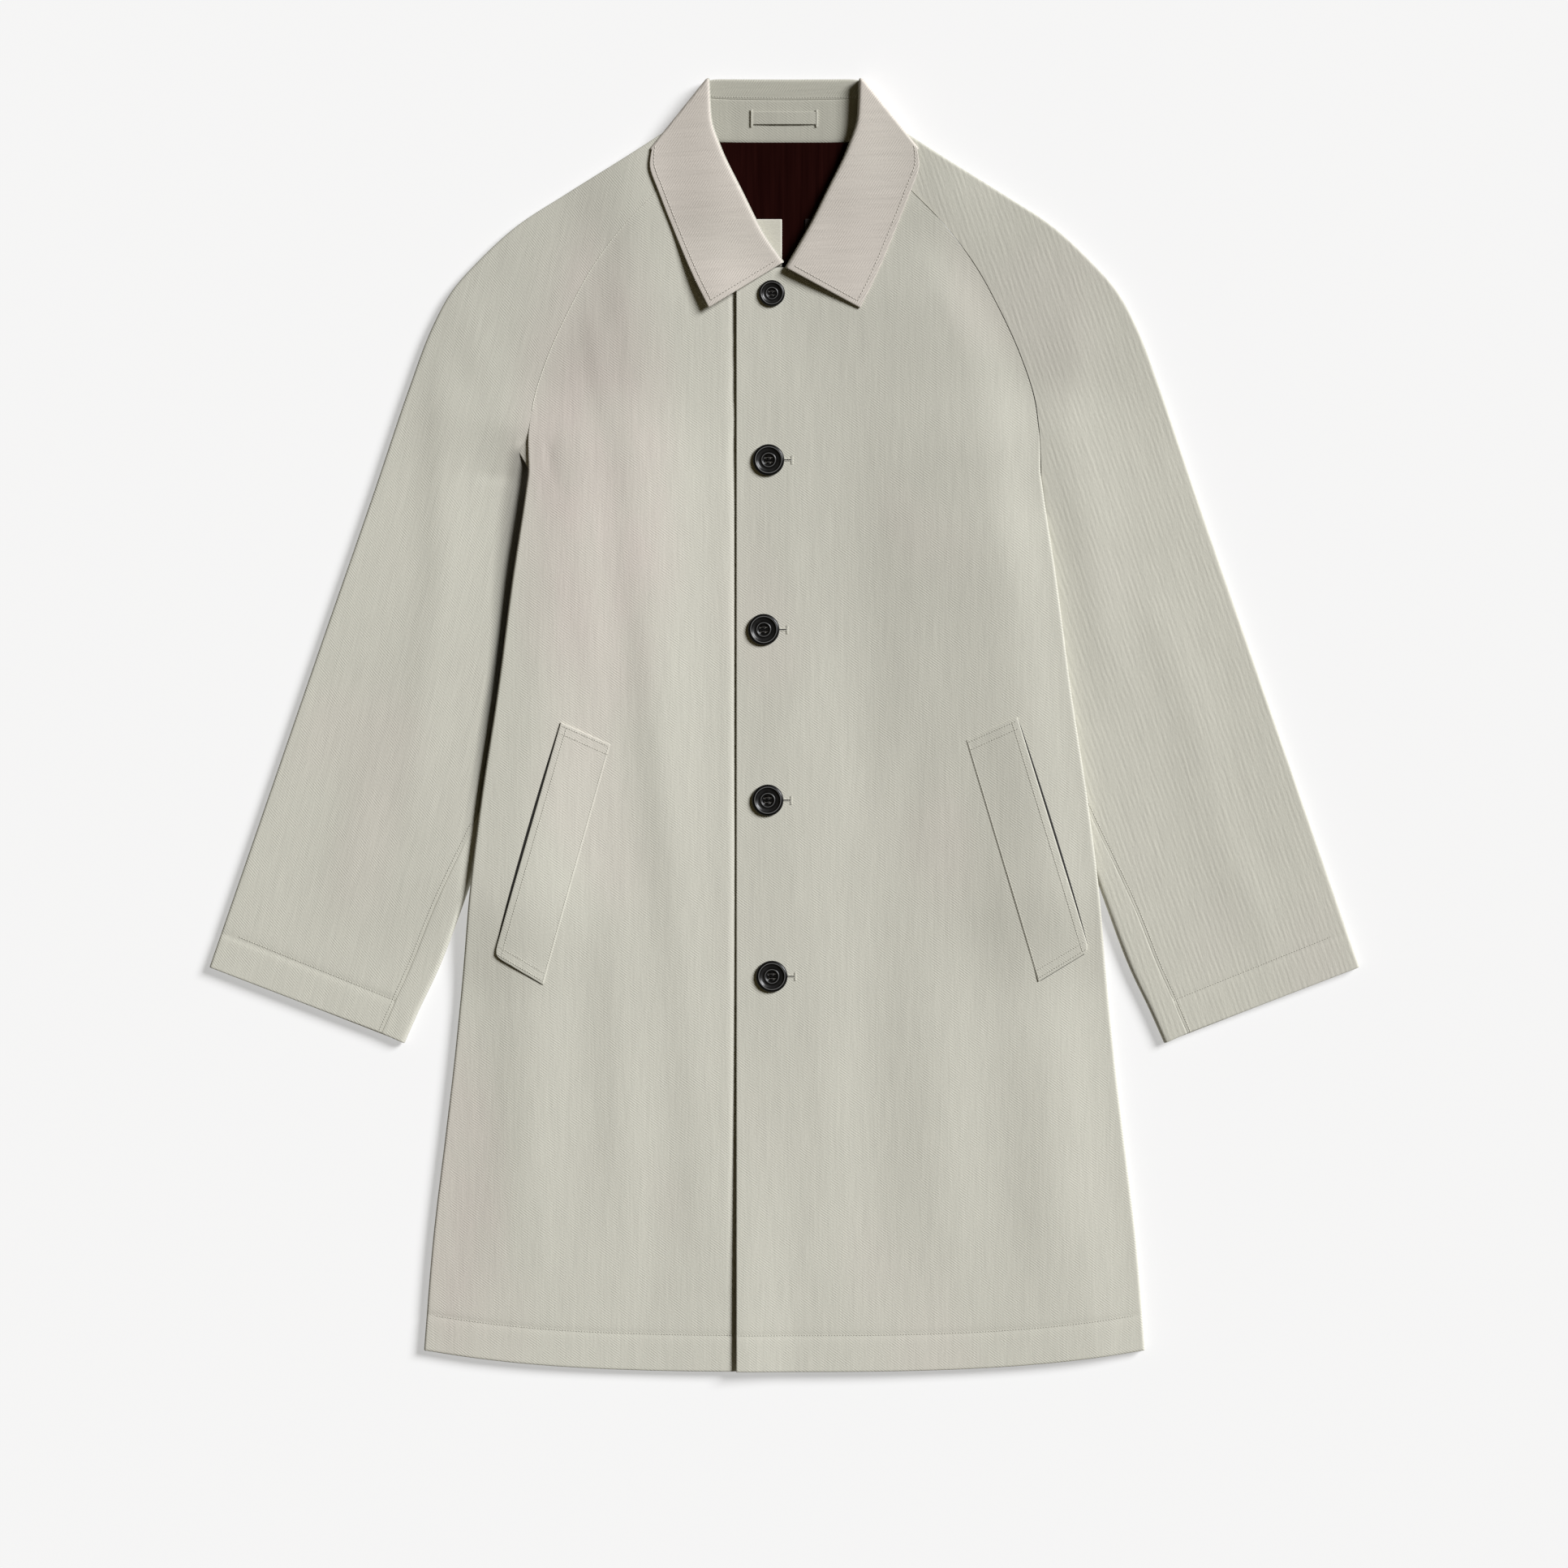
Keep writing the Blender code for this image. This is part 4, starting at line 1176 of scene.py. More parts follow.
lining_lift = (CLOTH + LINING_CLOTH) / 2 + LINING_GAP
label_lift = lining_lift + (LINING_CLOTH + LABEL_CLOTH) / 2 + SEAM_GAP
lining_foot = [(-LINING_FOOT.x, LINING_FOOT.y), LINING_FOOT]
lining_top = [(-LINING_TOP.x, LINING_TOP.y), LINING_TOP]
places = patch(lining_foot + lining_top, rim_parts(22, 0.006), rim_parts(18, 0.006))
ripple = np.sin(places[..., 0] / 9.0 + places[..., 1] / 40.0) * np.sin(places[..., 1] / 31.0)
level = back_height(places[..., 0], places[..., 1]) + lining_lift + np.maximum(ripple, 0.0) * LINING_RIPPLE
add_strip("back_lining", raised(places, level), LINING_CLOTH, "lining", "lining", ["back_panel"])
for node, tag, look in (("label_pale", PALE_LABEL, "pale_label"), ("label_dark", DARK_LABEL, "dark_label")):
    places = patch(tag_corners(tag), rim_parts(10, 0.02), rim_parts(10, 0.02))
    level = back_height(places[..., 0], places[..., 1]) + label_lift
    add_strip(node, raised(places, level), LABEL_CLOTH, look, look, ["back_lining"], True)
places = patch(tag_corners(HANGER), rim_parts(16, 0.012), rim_parts(6, 0.06))
bow = HANGER_BOW * (1 - (places[..., 0] / HANGER.high_x) ** 2)
hanger_top = CLOTH / 2 + NECK_LIFT + COLLAR_CLOTH / 2 + HANGER_SIT
loop = raised(places, hanger_top + bow)
add_strip("hanger_loop", loop, LOOP_CLOTH, "stand_wool_painted_shade", "collar_wool", ["collar_stand"])
print("strips", len(MAIN_PIECES))

# %% [markdown]
# A welt is the folded strip that finishes a slanted pocket. It is sewn down along its inner edge and
# both ends, and its outer edge, where the hand goes in, stands a little open. One corner is rounded.
# Its grid is laid out by distances from its own edges, so that its stitches can use them too.

# %% Pocket welts
WELT_CLOTH = 1.2
WELT_RISE = 0.3
WELT_OPENING = 1.0
WELT_FOOT = 0.5
WELT_FOOT_UP = (12.0, 0.0)
Welt = namedtuple("Welt", "side outer_top inner_top outer_bottom inner_bottom")
WELTS = {
    "pocket_welt_left": Welt(
        1, Spot(177.6, 5.9), Spot(138.3, -11.5), Spot(232.8, -172.3), Spot(193.6, -196.2)),
    "pocket_welt_right": Welt(
        -1, Spot(170.5, 2.2), Spot(132.6, -14.6), Spot(221.7, -176.1), Spot(184.0, -198.6)),
}
WELT_CORNER = 5.5
TINY = 1e-9


def welt_size(welt):
    """A welt's width along its foot, and its length along its outer edge."""
    width = np.linalg.norm(np.array(welt.inner_bottom) - np.array(welt.outer_bottom))
    return width, np.linalg.norm(np.array(welt.outer_top) - np.array(welt.outer_bottom))


def welt_place(welt, in_from_outer, up_from_bottom):
    """A place on a welt by its distances, in millimetres, from its outer and its bottom edge."""
    outer = np.array(welt.outer_top) - np.array(welt.outer_bottom)
    bottom = np.array(welt.inner_bottom) - np.array(welt.outer_bottom)
    far = np.array(welt.inner_top) - np.array(welt.inner_bottom)
    part = np.asarray(in_from_outer)[..., None] / np.linalg.norm(bottom)
    up = np.asarray(up_from_bottom)[..., None] / np.linalg.norm(outer)
    return np.array(welt.outer_bottom) + bottom * part + (outer + (far - outer) * part) * up


def welt_level(welt, places, in_from_outer, up_from_bottom):
    """The middle of the welt's wall; its outer edge stands open, and its foot a little."""
    width, _ = welt_size(welt)
    lift = (CLOTH - WELT_CLOTH) / 2 + WELT_RISE + WELT_OPENING * ease(1.0, 0.0, in_from_outer / width)
    lift = lift + WELT_FOOT * ease(*WELT_FOOT_UP, up_from_bottom)
    return front_level(welt.side, places[..., 0], places[..., 1]) + lift


for node, welt in WELTS.items():
    width, length = welt_size(welt)
    across, up = np.meshgrid(width * rim_parts(11, 0.02), length * rim_parts(36, 0.005))
    away_x = np.maximum(WELT_CORNER - across, 0.0)
    away_y = np.maximum(WELT_CORNER - up, 0.0)
    pull = np.maximum(away_x, away_y) / (np.hypot(away_x, away_y) + TINY)
    across = np.where(away_x > 0, WELT_CORNER - away_x * pull, across)
    up = np.where(away_y > 0, WELT_CORNER - away_y * pull, up)
    places = welt_place(welt, across, up)
    grid = mirrored(raised(places, welt_level(welt, places, across, up)), welt.side)
    under = "front_left" if welt.side > 0 else "front_right"
    add_strip(node, grid, WELT_CLOTH, "coat_wool", "wool", [under])
print("welts", list(WELTS))

# %% [markdown]
# Sewing thread is a few tenths of a millimetre thick, but the rows of it are what the eye follows on
# a coat. A bump could fake them. Real little grains of thread, all of a seam in one joined mesh, hold
# up from every side and still cost few triangles. Between each two sits a needle hole, a small dark
# grain that is painted shade for the shadow in the hole.

# %% Thread and needle holes
PLY_SCALE = 2600.0


def thread_look(name, colour):
    """Thread, with the mottle of its twisted plies; the same look colours the dark grains and strips of
    painted shade.
    """
    made, start, shader = new_material(name)
    ply = start.node("TexNoise", {}, {"Vector": place_of(start), "Scale": PLY_SCALE, "Detail": 2.0}) - 0.5
    tone = start.mix(0.0, (*colour, 1.0), (*colour, 1.0))
    feed(tone.shaded(ply * 0.5 + 1.0), shader, "Base Color")
    feed(0.7 + ply * 0.2, shader, "Roughness")
    relief(start, ply, 0.0001, 0.5, shader)
    return made


looks["wool_thread"] = thread_look("wool_thread", (0.60, 0.585, 0.51))
looks["collar_thread"] = thread_look("collar_thread", (0.56, 0.525, 0.47))
looks["needle_hole_painted_shade"] = thread_look("needle_hole_painted_shade", (0.17, 0.16, 0.135))
looks["dark_thread"] = thread_look("dark_thread", (0.035, 0.032, 0.03))
# Not thread: a near-black look for the pockets' strips of painted shade.
looks["pocket_painted_shade"] = thread_look("pocket_painted_shade", (0.012, 0.011, 0.009))
STITCH_SIDES = 6
STITCH_RINGS = [(-0.5, 0.0), (-0.42, 0.7), (-0.15, 1.0), (0.15, 1.0), (0.42, 0.7), (0.5, 0.0)]


def grain_shape():
    """One stitch: points as parts of its length, width and height, and its faces."""
    points = [(STITCH_RINGS[0][0], 0.0, 0.0)]
    faces = []
    for along, wide in STITCH_RINGS[1:-1]:
        for step in range(STITCH_SIDES):
            angle = 2 * math.pi * step / STITCH_SIDES
            points.append((along, wide * math.cos(angle), wide * math.sin(angle)))
    points.append((STITCH_RINGS[-1][0], 0.0, 0.0))
    rings = len(STITCH_RINGS) - 2
    for step in range(STITCH_SIDES):
        after = (step + 1) % STITCH_SIDES
        faces.append((0, 1 + after, 1 + step))
        for ring in range(rings - 1):
            low = 1 + ring * STITCH_SIDES
            high = low + STITCH_SIDES
            faces.append((low + step, low + after, high + after, high + step))
        last = 1 + (rings - 1) * STITCH_SIDES
        faces.append((last + step, last + after, len(points) - 1))
    return np.array(points), faces


GRAIN_POINTS, GRAIN_FACES = grain_shape()
print("stitch", len(GRAIN_POINTS), "points")

# %% [markdown]
# A seam has a pitch, and a stitch a length and a thickness. Stitches are spaced along any path of
# points, each one turned to run along it. Scattering them with nodes would work as well, but a joined
# mesh is one piece to name and to move.

# %% Sewing along a path
Seam = namedtuple("Seam", "pitch length radius")
Grain = namedtuple("Grain", "length width height lift shift")
TOP_STITCH = Seam(2.6, 2.0, 0.3)
FINE_STITCH = Seam(2.1, 1.5, 0.22)
STITCH_LIFT = 0.05
LOOK_AHEAD = 0.5


def stitch_spots(path, seam):
    """Middles and directions of the stitches along a path of points."""
    path = np.asarray(path, float)
    along = lengths(path)
    at = np.arange(seam.pitch / 2, along[-1], seam.pitch)
    middle = np.stack([np.interp(at, along, path[:, axis]) for axis in range(3)], axis=1)
    ahead = np.stack([np.interp(at + LOOK_AHEAD, along, path[:, axis]) for axis in range(3)], axis=1)
    behind = np.stack([np.interp(at - LOOK_AHEAD, along, path[:, axis]) for axis in range(3)], axis=1)
    run = ahead - behind
    return middle, run / np.linalg.norm(run, axis=1, keepdims=True)


def sew(name, paths, seam, looks_used, on):
    """All the stitches along some paths as one mesh, with needle holes between them."""
    points = []
    faces = []
    kinds = []
    up = np.array([0.0, 0.0, 1.0])
    stitch = Grain(seam.length, seam.radius, seam.radius, STITCH_LIFT, 0.0)
    # With the dark hole look, this grain is the needle hole's painted shade.
    hole = Grain(0.7, 0.3, 0.12, 0.0, seam.pitch / 2)
    for path in paths:
        middle, run = stitch_spots(path, seam)
        for kind, grain in enumerate((stitch, hole)):
            for spot, ahead in zip(middle, run):
                offset = len(points) * len(GRAIN_POINTS)
                placed = spot + up * grain.lift
                placed = placed + np.outer(GRAIN_POINTS[:, 0] * grain.length + grain.shift, ahead)
                placed = placed + np.outer(GRAIN_POINTS[:, 1] * grain.width, np.cross(up, ahead))
                points.append(placed + np.outer(GRAIN_POINTS[:, 2] * grain.height, up))
                faces += [tuple(offset + index for index in face) for face in GRAIN_FACES]
                kinds += [kind] * len(GRAIN_FACES)
    mesh = bpy.data.meshes.new(name)
    mesh.from_pydata((np.concatenate(points) * MM).tolist(), [], faces)
    for look in looks_used:
        mesh.materials.append(looks[look])
    mesh.polygons.foreach_set("material_index", kinds)
    mesh.polygons.foreach_set("use_smooth", [True] * len(faces))
    piece = bpy.data.objects.new(name, mesh)
    coat.objects.link(piece)
    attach(piece, BODY)
    sewn_on[on].append(piece)
    print(name, len(points) // 2, "stitches")


# %% [markdown]
# The hem and the cuffs are held by one fine row, a little above the edge, and the underarm seam has
# another beside it. The rows take their height from the walls they lie on, so they sink with them.

# %% Rows of stitches on the hem, cuffs and underarms
WOOL_SEAM = ("wool_thread", "needle_hole_painted_shade")
WOOL_RIDGE = ("wool_thread", "wool_thread")
# Dark thread holds the buttons; the same near-black grains draw each buttonhole slit as painted shade.
DARK_SEAM = ("dark_thread", "dark_thread")
SURFACE = CLOTH / 2
CUFF_LEAN = np.array([-9.0, -1.5])
UNDERARM_TOP = 20.0
for name, side, first in (("left", 1, LEFT_LAP + 1.5), ("right", -1, -LEFT_LAP + 1.0)):
    x = even(first, 266.0, 3.0)
    y = hem_height(x) + STITCH_LINE
    row = np.stack([x * side, y, front_level(side, x, y) + SURFACE], axis=1)
    sew("hem_stitches_" + name, [row], FINE_STITCH, WOOL_SEAM, "front_" + name)
    part = np.linspace(0.02, 0.985, 50)[:, None]
    cuff = CUFF_START + CUFF_UP * STITCH_LINE + (part - 0.005) * CUFF_RUN + part * CUFF_LEAN
    level = sleeve_level(side, cuff[:, 0], cuff[:, 1]) + SURFACE
    row = np.stack([cuff[:, 0] * side, cuff[:, 1], level], axis=1)
    sew("cuff_stitches_" + name, [row], FINE_STITCH, WOOL_SEAM, "sleeve_front_" + name)
    seam = grids["sleeve_front_" + name][:, TURN_STEPS]
    seam = seam[seam[:, 1] < UNDERARM_TOP] + np.array([1.6 * side, 0.4, SURFACE])
    sew("underarm_stitches_" + name, [seam], FINE_STITCH, WOOL_SEAM, "sleeve_front_" + name)

# %% [markdown]
# The right raglan seam is pressed so flat that only a fine pale ridge shows along it. A bump would fade
# from the side, so the ridge is a close row of long wool grains that touch each other.

# %% The ridge of the raglan seam
SEAM_RIDGE = Seam(2.4, 3.2, 0.32)
RIDGE_LOW = 238.0
RIDGE_HIGH = 414.0
seam = grids["sleeve_front_right"][:, TURN_STEPS]
shown = (seam[:, 1] > RIDGE_LOW) & (seam[:, 1] < RIDGE_HIGH)
seam = seam[shown] + np.array([0.0, 0.0, SURFACE])
sew("raglan_ridge", [seam], SEAM_RIDGE, WOOL_RIDGE, "sleeve_front_right")

# %% [markdown]
# A collar is top-stitched round its edge with a thicker thread, to keep the leaf flat, and a fine row
# holds the lip inside the neck. The rows are points of the same sections, an inset from the edge.

# %% Rows of stitches on the collar
EDGE_INSET = 4.3
FRONT_END = 5.0
LAST_SEGMENT = 27.5
LIP_INSET = 1.8
COLLAR_TOP = np.array([0.0, 0.0, COLLAR_CLOTH / 2])
COLLAR_SEAM = ("collar_thread", "needle_hole_painted_shade")


def leaf_row(places, inset, side):
    """Points on top of the leaf, an inset from its edge, at places along the collar."""
    points = []
    for place in places:
        row, turn = collar_station(place, side)
        leaf = np.linalg.norm(row[2:4] - row[:2])
        points.append(collar_point(row, turn, leaf - inset, 1.0, side))
    return np.array(points) + COLLAR_TOP


front_place = COLLAR_END - EDGE_INSET / LAST_SEGMENT
rows = []
for side in (1, -1):
    outer_row = leaf_row(np.linspace(3.0, front_place, 90), EDGE_INSET, side)
    row, turn = collar_station(front_place, side)
    leaf = np.linalg.norm(row[2:4] - row[:2])
    widths = np.linspace(leaf - EDGE_INSET, FRONT_END, 30)
    front_row = np.array([collar_point(row, turn, width, 1.0, side) for width in widths]) + COLLAR_TOP
    rows += [mirrored(outer_row, side), mirrored(front_row, side)]
sew("leaf_stitches", rows, TOP_STITCH, COLLAR_SEAM, "collar_fall")
lip_row = []
for place in np.linspace(0.0, 2.0, 40):
    row, turn = collar_station(place)
    lip_row.append(collar_point(row, turn, roll_start(row, turn)[1] + row[4] - LIP_INSET, 0.0))
lip_row = np.array(lip_row) + COLLAR_TOP
lip_row = np.concatenate([mirrored(lip_row, -1)[:0:-1], lip_row])
sew("stand_stitches", [lip_row], FINE_STITCH, WOOL_SEAM, "collar_fall")

# %% [markdown]
# On a welt a close join runs down the inner edge, one row runs near the open edge, and two short rows
# cross each end. They are drawn by the same distances from the edges that the welt was laid out by.

# %% Rows of stitches on the pocket welts
WELT_ROW = 5.6
WELT_ROW_END = 2.5
JOIN_INSET = 1.3
CROSS_INSET = 1.5
CROSS_ROWS = (2.4, 8.2)
for node, welt in WELTS.items():
    width, length = welt_size(welt)
    join = width - JOIN_INSET
    runs = [((join, CROSS_INSET), (join, length - CROSS_INSET))]
    runs.append(((WELT_ROW, WELT_ROW_END), (WELT_ROW, length - WELT_ROW_END)))
    for end in (*CROSS_ROWS, *(length - row for row in reversed(CROSS_ROWS))):
        runs.append(((CROSS_INSET, end), (width - CROSS_INSET, end)))
    paths = []
    for start, end in runs:
        line = np.linspace(start, end, 60)
        places = welt_place(welt, line[:, 0], line[:, 1])
        level = welt_level(welt, places, line[:, 0], line[:, 1]) + WELT_CLOTH / 2
        paths.append(np.stack([places[:, 0] * welt.side, places[:, 1], level], axis=1))
    sew(node.replace("welt", "join"), paths[:1], FINE_STITCH, WOOL_RIDGE, node)
    sew(node.replace("welt", "stitches"), paths[1:], FINE_STITCH, WOOL_SEAM, node)

# %% [markdown]
# The pocket's mouth shows as a dark slit beside the welt, widest half way along, and a fine dark line
# runs under the welt's foot. Both are painted shade: a slim near-black strip lies under the welt's open
# edge, where the shade inside the pocket falls, and a narrow one along its foot, where its shadow falls.

# %% Pocket mouths
MOUTH_WIDTH = 1.8
FOOT_WIDTH = 0.3
MOUTH_LIFT = 0.2
MOUTH_CLOTH = 0.4
MOUTH_BOW = 0.6
for node, welt in WELTS.items():
    width, length = welt_size(welt)
    up = np.linspace(WELT_CORNER, length - 1.0, 40)
    open_by = MOUTH_WIDTH * np.sin(np.pi * (up - up[0]) / (up[-1] - up[0])) ** MOUTH_BOW
    across = np.stack([4.0 + 0 * up, 2.0 + 0 * up, -0.6 * open_by, -open_by], axis=1)
    foot = np.repeat(np.linspace(WELT_CORNER - 1.0, width - 2.0, 16)[:, None], 4, axis=1)
    foot_up = np.broadcast_to([-FOOT_WIDTH, -0.4 * FOOT_WIDTH, 1.5, 3.0], foot.shape)
    # The mouth strip is painted shade inside the pocket; the foot strip is a painted shadow under the
    # welt's foot.
    parts = {"mouth": (across, np.repeat(up[:, None], 4, axis=1)), "foot": (foot, foot_up)}
    for part_name, (inward, upward) in parts.items():
        places = welt_place(welt, inward, upward)
        level = front_level(welt.side, places[..., 0], places[..., 1]) + CLOTH / 2 + MOUTH_LIFT
        grid = mirrored(raised(places, level), welt.side)
        shade = cloth_shell(node.replace("welt", part_name), grid, MOUTH_CLOTH, "pocket_painted_shade")
        sewn_on[node].append(shade)
print("pocket mouths", len(WELTS))

# %% [markdown]
# Under the right arm the sleeve's seam allowance pulls its cloth into a small tuck, which bridges the
# top of the shaded hollow beside the body. Its lower edge is a fold that runs from the body's side up
# onto the sleeve, and its top dies out in the sleeve's own surface.

# %% The underarm tuck
TUCK_CLOTH = 1.0
TUCK_SIDE = -1
TUCK_FOLD = [Spot(192.5, 191.0), Spot(205.0, 211.7)]
TUCK_TOP = [Spot(192.5, 232.0), Spot(204.0, 227.0)]
TUCK_RISE = 9.9
TUCK_FOOT = 7.5
TUCK_SINK = 0.2
TUCK_LEAN = -14.0
parts = rim_parts(9, 0.05)
places = patch(TUCK_FOLD + TUCK_TOP, parts, parts)
merged = sleeve_level(TUCK_SIDE, places[-1, :, 0], places[-1, :, 1]) - TUCK_SINK
fold_level = TUCK_RISE + (TUCK_FOOT - TUCK_RISE) * parts
level = fold_level[None] + (merged - fold_level)[None] * parts[:, None]
grid = mirrored(raised(places, level), TUCK_SIDE)
tuck = cloth_shell("underarm_tuck", grid, TUCK_CLOTH, "coat_wool", TUCK_LEAN)
sewn_on["sleeve_front_right"].append(tuck)
print("underarm tuck", places.shape)

# %% [markdown]
# The buttons are turned horn: a rounded rim, a ridge, a hollowed band, a second small ridge and
# a well with four holes. On a lathe the profile is cut as it spins, and here the profile is spun into
# rings the same way. The holes are pressed into the fine rings of the well. Pale rings on the two
# ridges are painted highlights.

# %% Horn buttons
Button = namedtuple("Button", "x y radius")
BUTTONS = [
    Button(-9.6, 329.6, 10.0), Button(-12.1, 202.4, 12.0), Button(-15.8, 72.9, 12.0),
    Button(-12.7, -57.4, 12.0), Button(-9.6, -191.9, 12.0),
]
BUTTON_HEIGHT = 3.6
BUTTON_SINK = 0.7
BUTTON_SIDES = 64
Turning = namedtuple("Turning", "radius height")
BUTTON_PROFILE = [
    Turning(0.0, 0.5), Turning(0.2, 0.5), Turning(0.34, 0.52), Turning(0.4, 0.66), Turning(0.44, 0.7),
    Turning(0.48, 0.62), Turning(0.58, 0.64), Turning(0.7, 0.76), Turning(0.78, 0.93), Turning(0.83, 1.0),
    Turning(0.88, 0.97), Turning(0.96, 0.82), Turning(1.0, 0.6), Turning(0.97, 0.32), Turning(0.86, 0.1),
    Turning(0.6, 0.0), Turning(0.0, 0.0),
]
HOLE_REACH = 0.145
HOLE_RADIUS = 0.075
HOLE_DEPTH = 1.5
RIM_RING = 0.83
EYE_RING = 0.435
BAND_RING = 0.66
RING_RANGE = (0.03, 0.004)
BAND_RANGE = (0.14, 0.02)
CLOUD_SCALE = 260.0
HORN_DARK = (0.0035, 0.0033, 0.0035, 1.0)
HORN_PAINTED_HIGHLIGHT = (0.30, 0.30, 0.295, 1.0)


def horn_look():
    """Near-black horn, with pale rings painted on its two ridges as painted highlights."""
    made, start, shader = new_material("horn")
    turned = start.node("UVMap", {"uv_map": "Turned"}, {})
    ring = start.node("SeparateXYZ", {}, {"Vector": turned}, 0)
    spot = {"Vector": place_of(start), "Scale": CLOUD_SCALE, "Detail": 3.0}
    cloud = start.node("TexNoise", {}, spot) - 0.5
    rim = (ring - RIM_RING).size().mask(*RING_RANGE)
    eye = (ring - EYE_RING).size().mask(*RING_RANGE)
    band = (ring - BAND_RING).size().mask(*BAND_RANGE)
    # Painted highlights as pale rings on the two ridges, a faint pale on the band, and a random mottle.
    painted_highlight_and_mottle = rim * 0.5 + eye * 0.4 + band * 0.03 + cloud * 0.03
    feed(start.mix(painted_highlight_and_mottle, HORN_DARK, HORN_PAINTED_HIGHLIGHT), shader, "Base Color")
    feed(0.3 + cloud * 0.2, shader, "Roughness")
    shader.inputs["Specular IOR Level"].default_value = 0.3
    relief(start, cloud, 0.0001, 0.3, shader)
    return made


looks["horn"] = horn_look()


def horn_button(name, spot):
    """A button spun from its profile, with four holes pressed into its well."""
    parts = np.concatenate([np.linspace(0.0, 0.30, 22), np.linspace(0.31, 1.0, 52)])
    profile = smooth(BUTTON_PROFILE, parts)
    profile[0, 0] = profile[-1, 0] = 0.0
    angle = np.linspace(0.0, 2 * math.pi, BUTTON_SIDES, endpoint=False)
    rings = profile[1:-1]
    x = np.outer(rings[:, 0], np.cos(angle))
    y = np.outer(rings[:, 0], np.sin(angle))
    z = np.repeat(rings[:, 1:2] * BUTTON_HEIGHT, BUTTON_SIDES, axis=1)
    on_top = (np.arange(len(rings)) < len(rings) // 2)[:, None]
    for hole_x in (-HOLE_REACH, HOLE_REACH):
        for hole_y in (-HOLE_REACH, HOLE_REACH):
            away = np.hypot(x - hole_x, y - hole_y)
            z = z - np.where(on_top, HOLE_DEPTH * ease(HOLE_RADIUS * 1.25, HOLE_RADIUS * 0.7, away), 0.0)
    points = np.stack([x * spot.radius, y * spot.radius, z], axis=-1).reshape(-1, 3)
    ends = [(0.0, 0.0, profile[0, 1] * BUTTON_HEIGHT), (0.0, 0.0, 0.0)]
    points = np.concatenate([points, ends]) + np.array([spot.x, spot.y, 0.0])
    top = float(front_level(1, spot.x, spot.y)) + CLOTH / 2 - BUTTON_SINK
    points[:, 2] += top
    number = np.arange(len(rings) * BUTTON_SIDES).reshape(len(rings), BUTTON_SIDES)
    after = np.roll(number, -1, axis=1)
    faces = np.stack([number[:-1], number[1:], after[1:], after[:-1]], axis=-1).reshape(-1, 4).tolist()
    first = len(points) - 2
    last = len(points) - 1
    faces += [(first, a, b) for a, b in zip(number[0], after[0])]
    faces += [(last, b, a) for a, b in zip(number[-1], after[-1])]
    mesh = bpy.data.meshes.new(name)
    mesh.from_pydata((points * MM).tolist(), [], faces)
    rings_out = np.concatenate([np.repeat(rings[:, 0], BUTTON_SIDES), [0.0, 0.0]])
    layer = mesh.uv_layers.new(name="Turned")
    corner = np.zeros(len(mesh.loops), int)
    mesh.loops.foreach_get("vertex_index", corner)
    layer.data.foreach_set("uv", np.stack([rings_out[corner], 0 * corner], axis=1).ravel())
    mesh.polygons.foreach_set("use_smooth", [True] * len(faces))
    mesh.materials.append(looks["horn"])
    piece = bpy.data.objects.new(name, mesh)
    coat.objects.link(piece)
    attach(piece, BODY)
    return piece, top


THREAD_LEVEL = 0.55
THREAD_REACH = 1.6
THREAD_LENGTH = 3.0
THREAD_RADIUS = 0.4
for index, spot in enumerate(BUTTONS):
    node = "button_%d" % (index + 1)
    piece, top = horn_button(node + "_horn", spot)
    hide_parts(node)
    sewn_on["front_left"].append(piece)
    reach = HOLE_REACH * spot.radius
    bars = []
    level = top + THREAD_LEVEL * BUTTON_HEIGHT
    half = THREAD_REACH * reach
    for y in (spot.y - reach, spot.y + reach):
        bars.append([(spot.x - half, y, level), (spot.x + half, y, level)])
    seam = Seam(2 * half, THREAD_LENGTH * reach, THREAD_RADIUS)
    sew(node + "_thread", bars, seam, DARK_SEAM, "front_left")
print("buttons", len(BUTTONS))

# %% [markdown]
# Each buttonhole is a keyhole cut, worked round with close stitches and closed by a bar tack. Only
# its end shows beside the button, and bar tacks also hold both ends of the hanging loop. The cut
# itself is a row of near-black grains along the slit, which is painted shade.

# %% Buttonholes and bar tacks
PURL = Seam(0.8, 1.1, 0.34)
BAR = Seam(0.62, 0.9, 0.36)
SLIT = Seam(1.2, 1.6, 0.3)
SLIT_START = -2.5
SLIT_END = 5.6
PURL_REACH = 0.75
BAR_REACH = 3.2
BAR_SHIFTS = (0.0, 0.7)
TACK_INSET = 0.8
TACK_REACH = 1.6
TACK_SHIFTS = (-0.5, 0.4)
ROW_POINTS = 8


def lap_point(x, y, lift=0.0):
    """A point on top of the front that laps over."""
    return (x, y, float(front_level(1, x, y)) + SURFACE + lift)


purls = []
bars = []
slits = []
for spot in BUTTONS[1:]:
    edge = spot.x + spot.radius
    along = np.linspace(edge + SLIT_START, edge + SLIT_END, ROW_POINTS)
    for offset in (-PURL_REACH, PURL_REACH):
        purls.append([lap_point(x, spot.y + offset) for x in along])
    for shift in BAR_SHIFTS:
        across = np.linspace(-BAR_REACH, BAR_REACH, ROW_POINTS)
        bars.append([lap_point(along[-1] + shift, spot.y + y, 0.1) for y in across])
    # The slit is drawn as near-black grains: painted shade.
    slits.append([lap_point(x, spot.y, 0.05) for x in along])
sew("buttonhole_purls", purls, PURL, WOOL_RIDGE, "front_left")
sew("buttonhole_bars", bars, BAR, WOOL_SEAM, "front_left")
sew("buttonhole_slits", slits, SLIT, DARK_SEAM, "front_left")
tacks = []
tack_level = hanger_top + LOOP_CLOTH / 2
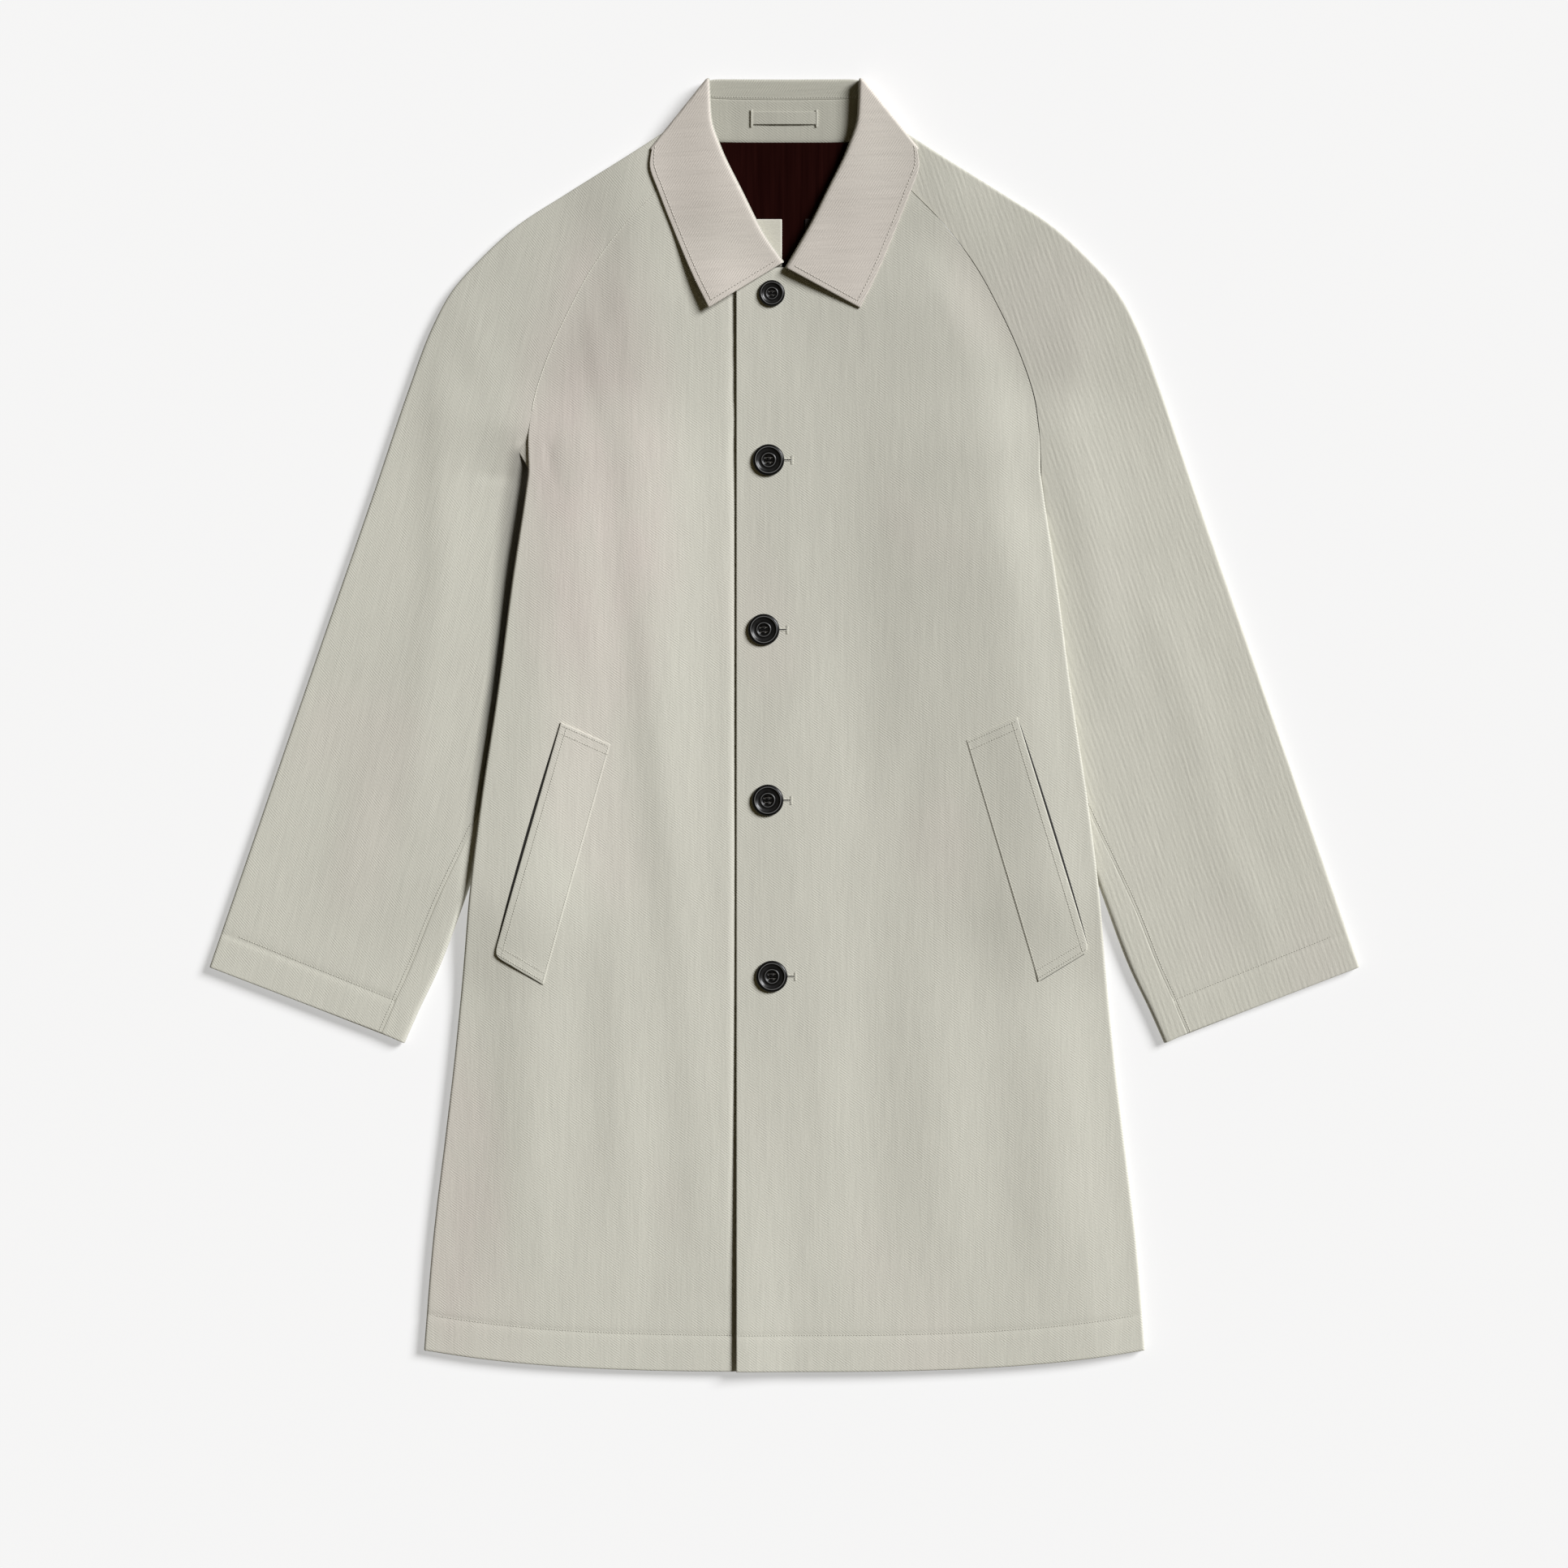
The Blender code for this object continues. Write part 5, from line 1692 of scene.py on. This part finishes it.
tack_run = np.linspace(HANGER.low_y - TACK_REACH, HANGER.high_y + TACK_REACH, ROW_POINTS)
for x in (HANGER.low_x + TACK_INSET, HANGER.high_x - TACK_INSET):
    for shift in TACK_SHIFTS:
        tacks.append([(x + shift, y, tack_level) for y in tack_run])
sew("hanger_tacks", tacks, BAR, WOOL_SEAM, "hanger_loop")

# %% [markdown]
# The size that every cloth piece was cut to is printed. It is measured on the unrolled grid, so it
# follows when a curve is changed.

for piece in MAIN_PIECES:
    cut = cut_of(grids[piece.node])
    under = [shells[node] for node in piece.rests_on]
    print("sheet", piece.node, cut.flat, cut.area)

# %% [markdown]
# The coat lies on a plain white table. Lit only by the lamp, the table would be grey beside so pale a
# cloth, so it also glows a little, which keeps it white while the shadows on it stay soft.

# %% The table
FLOOR_SIZE = 40.0
FLOOR_DROP = 0.0006
scene = bpy.context.scene
floor_mesh = bpy.data.meshes.new("table_top")
corners = [(x * FLOOR_SIZE, y * FLOOR_SIZE, -FLOOR_DROP) for x, y in ((-1, -1), (1, -1), (1, 1), (-1, 1))]
floor_mesh.from_pydata(corners, [], [(0, 1, 2, 3)])
floor = bpy.data.objects.new("table_top", floor_mesh)
scene.collection.objects.link(floor)
floor_look, _, floor_shader = new_material("table_paper")
floor_shader.inputs["Base Color"].default_value = (0.46, 0.455, 0.45, 1.0)
floor_shader.inputs["Emission Color"].default_value = (0.465, 0.466, 0.468, 1.0)
floor_shader.inputs["Emission Strength"].default_value = 1.0
floor_shader.inputs["Roughness"].default_value = 0.9
floor_shader.inputs["Specular IOR Level"].default_value = 0.1
floor_mesh.materials.append(floor_look)
print("table %.0f m wide" % (2 * FLOOR_SIZE))

# %% [markdown]
# The picture is taken from straight above. A long lens keeps the edges of the coat from leaning.

# %% The camera
camera_data = bpy.data.cameras.new("camera")
camera_data.lens = 100.0
camera_data.sensor_width = 36.0
camera = bpy.data.objects.new("camera", camera_data)
camera.location = (-0.0003, -0.045, 3.335)
scene.collection.objects.link(camera)
scene.camera = camera
print("camera", tuple(camera.location))

# %% [markdown]
# One soft lamp stands on the wearer's left, low enough to draw every edge, and a little towards the
# collar. The rest of the room gives a dim warm fill, so that the shadows are brown and not grey.

# %% The light
key_data = bpy.data.lights.new("key", "SUN")
key_data.energy = 5.4
key_data.color = (0.963, 0.974, 1.0)
key_data.angle = math.radians(24)
key = bpy.data.objects.new("key", key_data)
key.rotation_euler = (0.0, math.radians(56), math.radians(32))
scene.collection.objects.link(key)
world = bpy.data.worlds.new("studio")
scene.world = world
world.use_nodes = True
sky = world.node_tree.nodes["Background"]
sky.inputs["Color"].default_value = (1.0, 0.84, 0.44, 1.0)
sky.inputs["Strength"].default_value = 0.06
scene.view_settings.view_transform = "Standard"
print("lamp", key_data.energy)
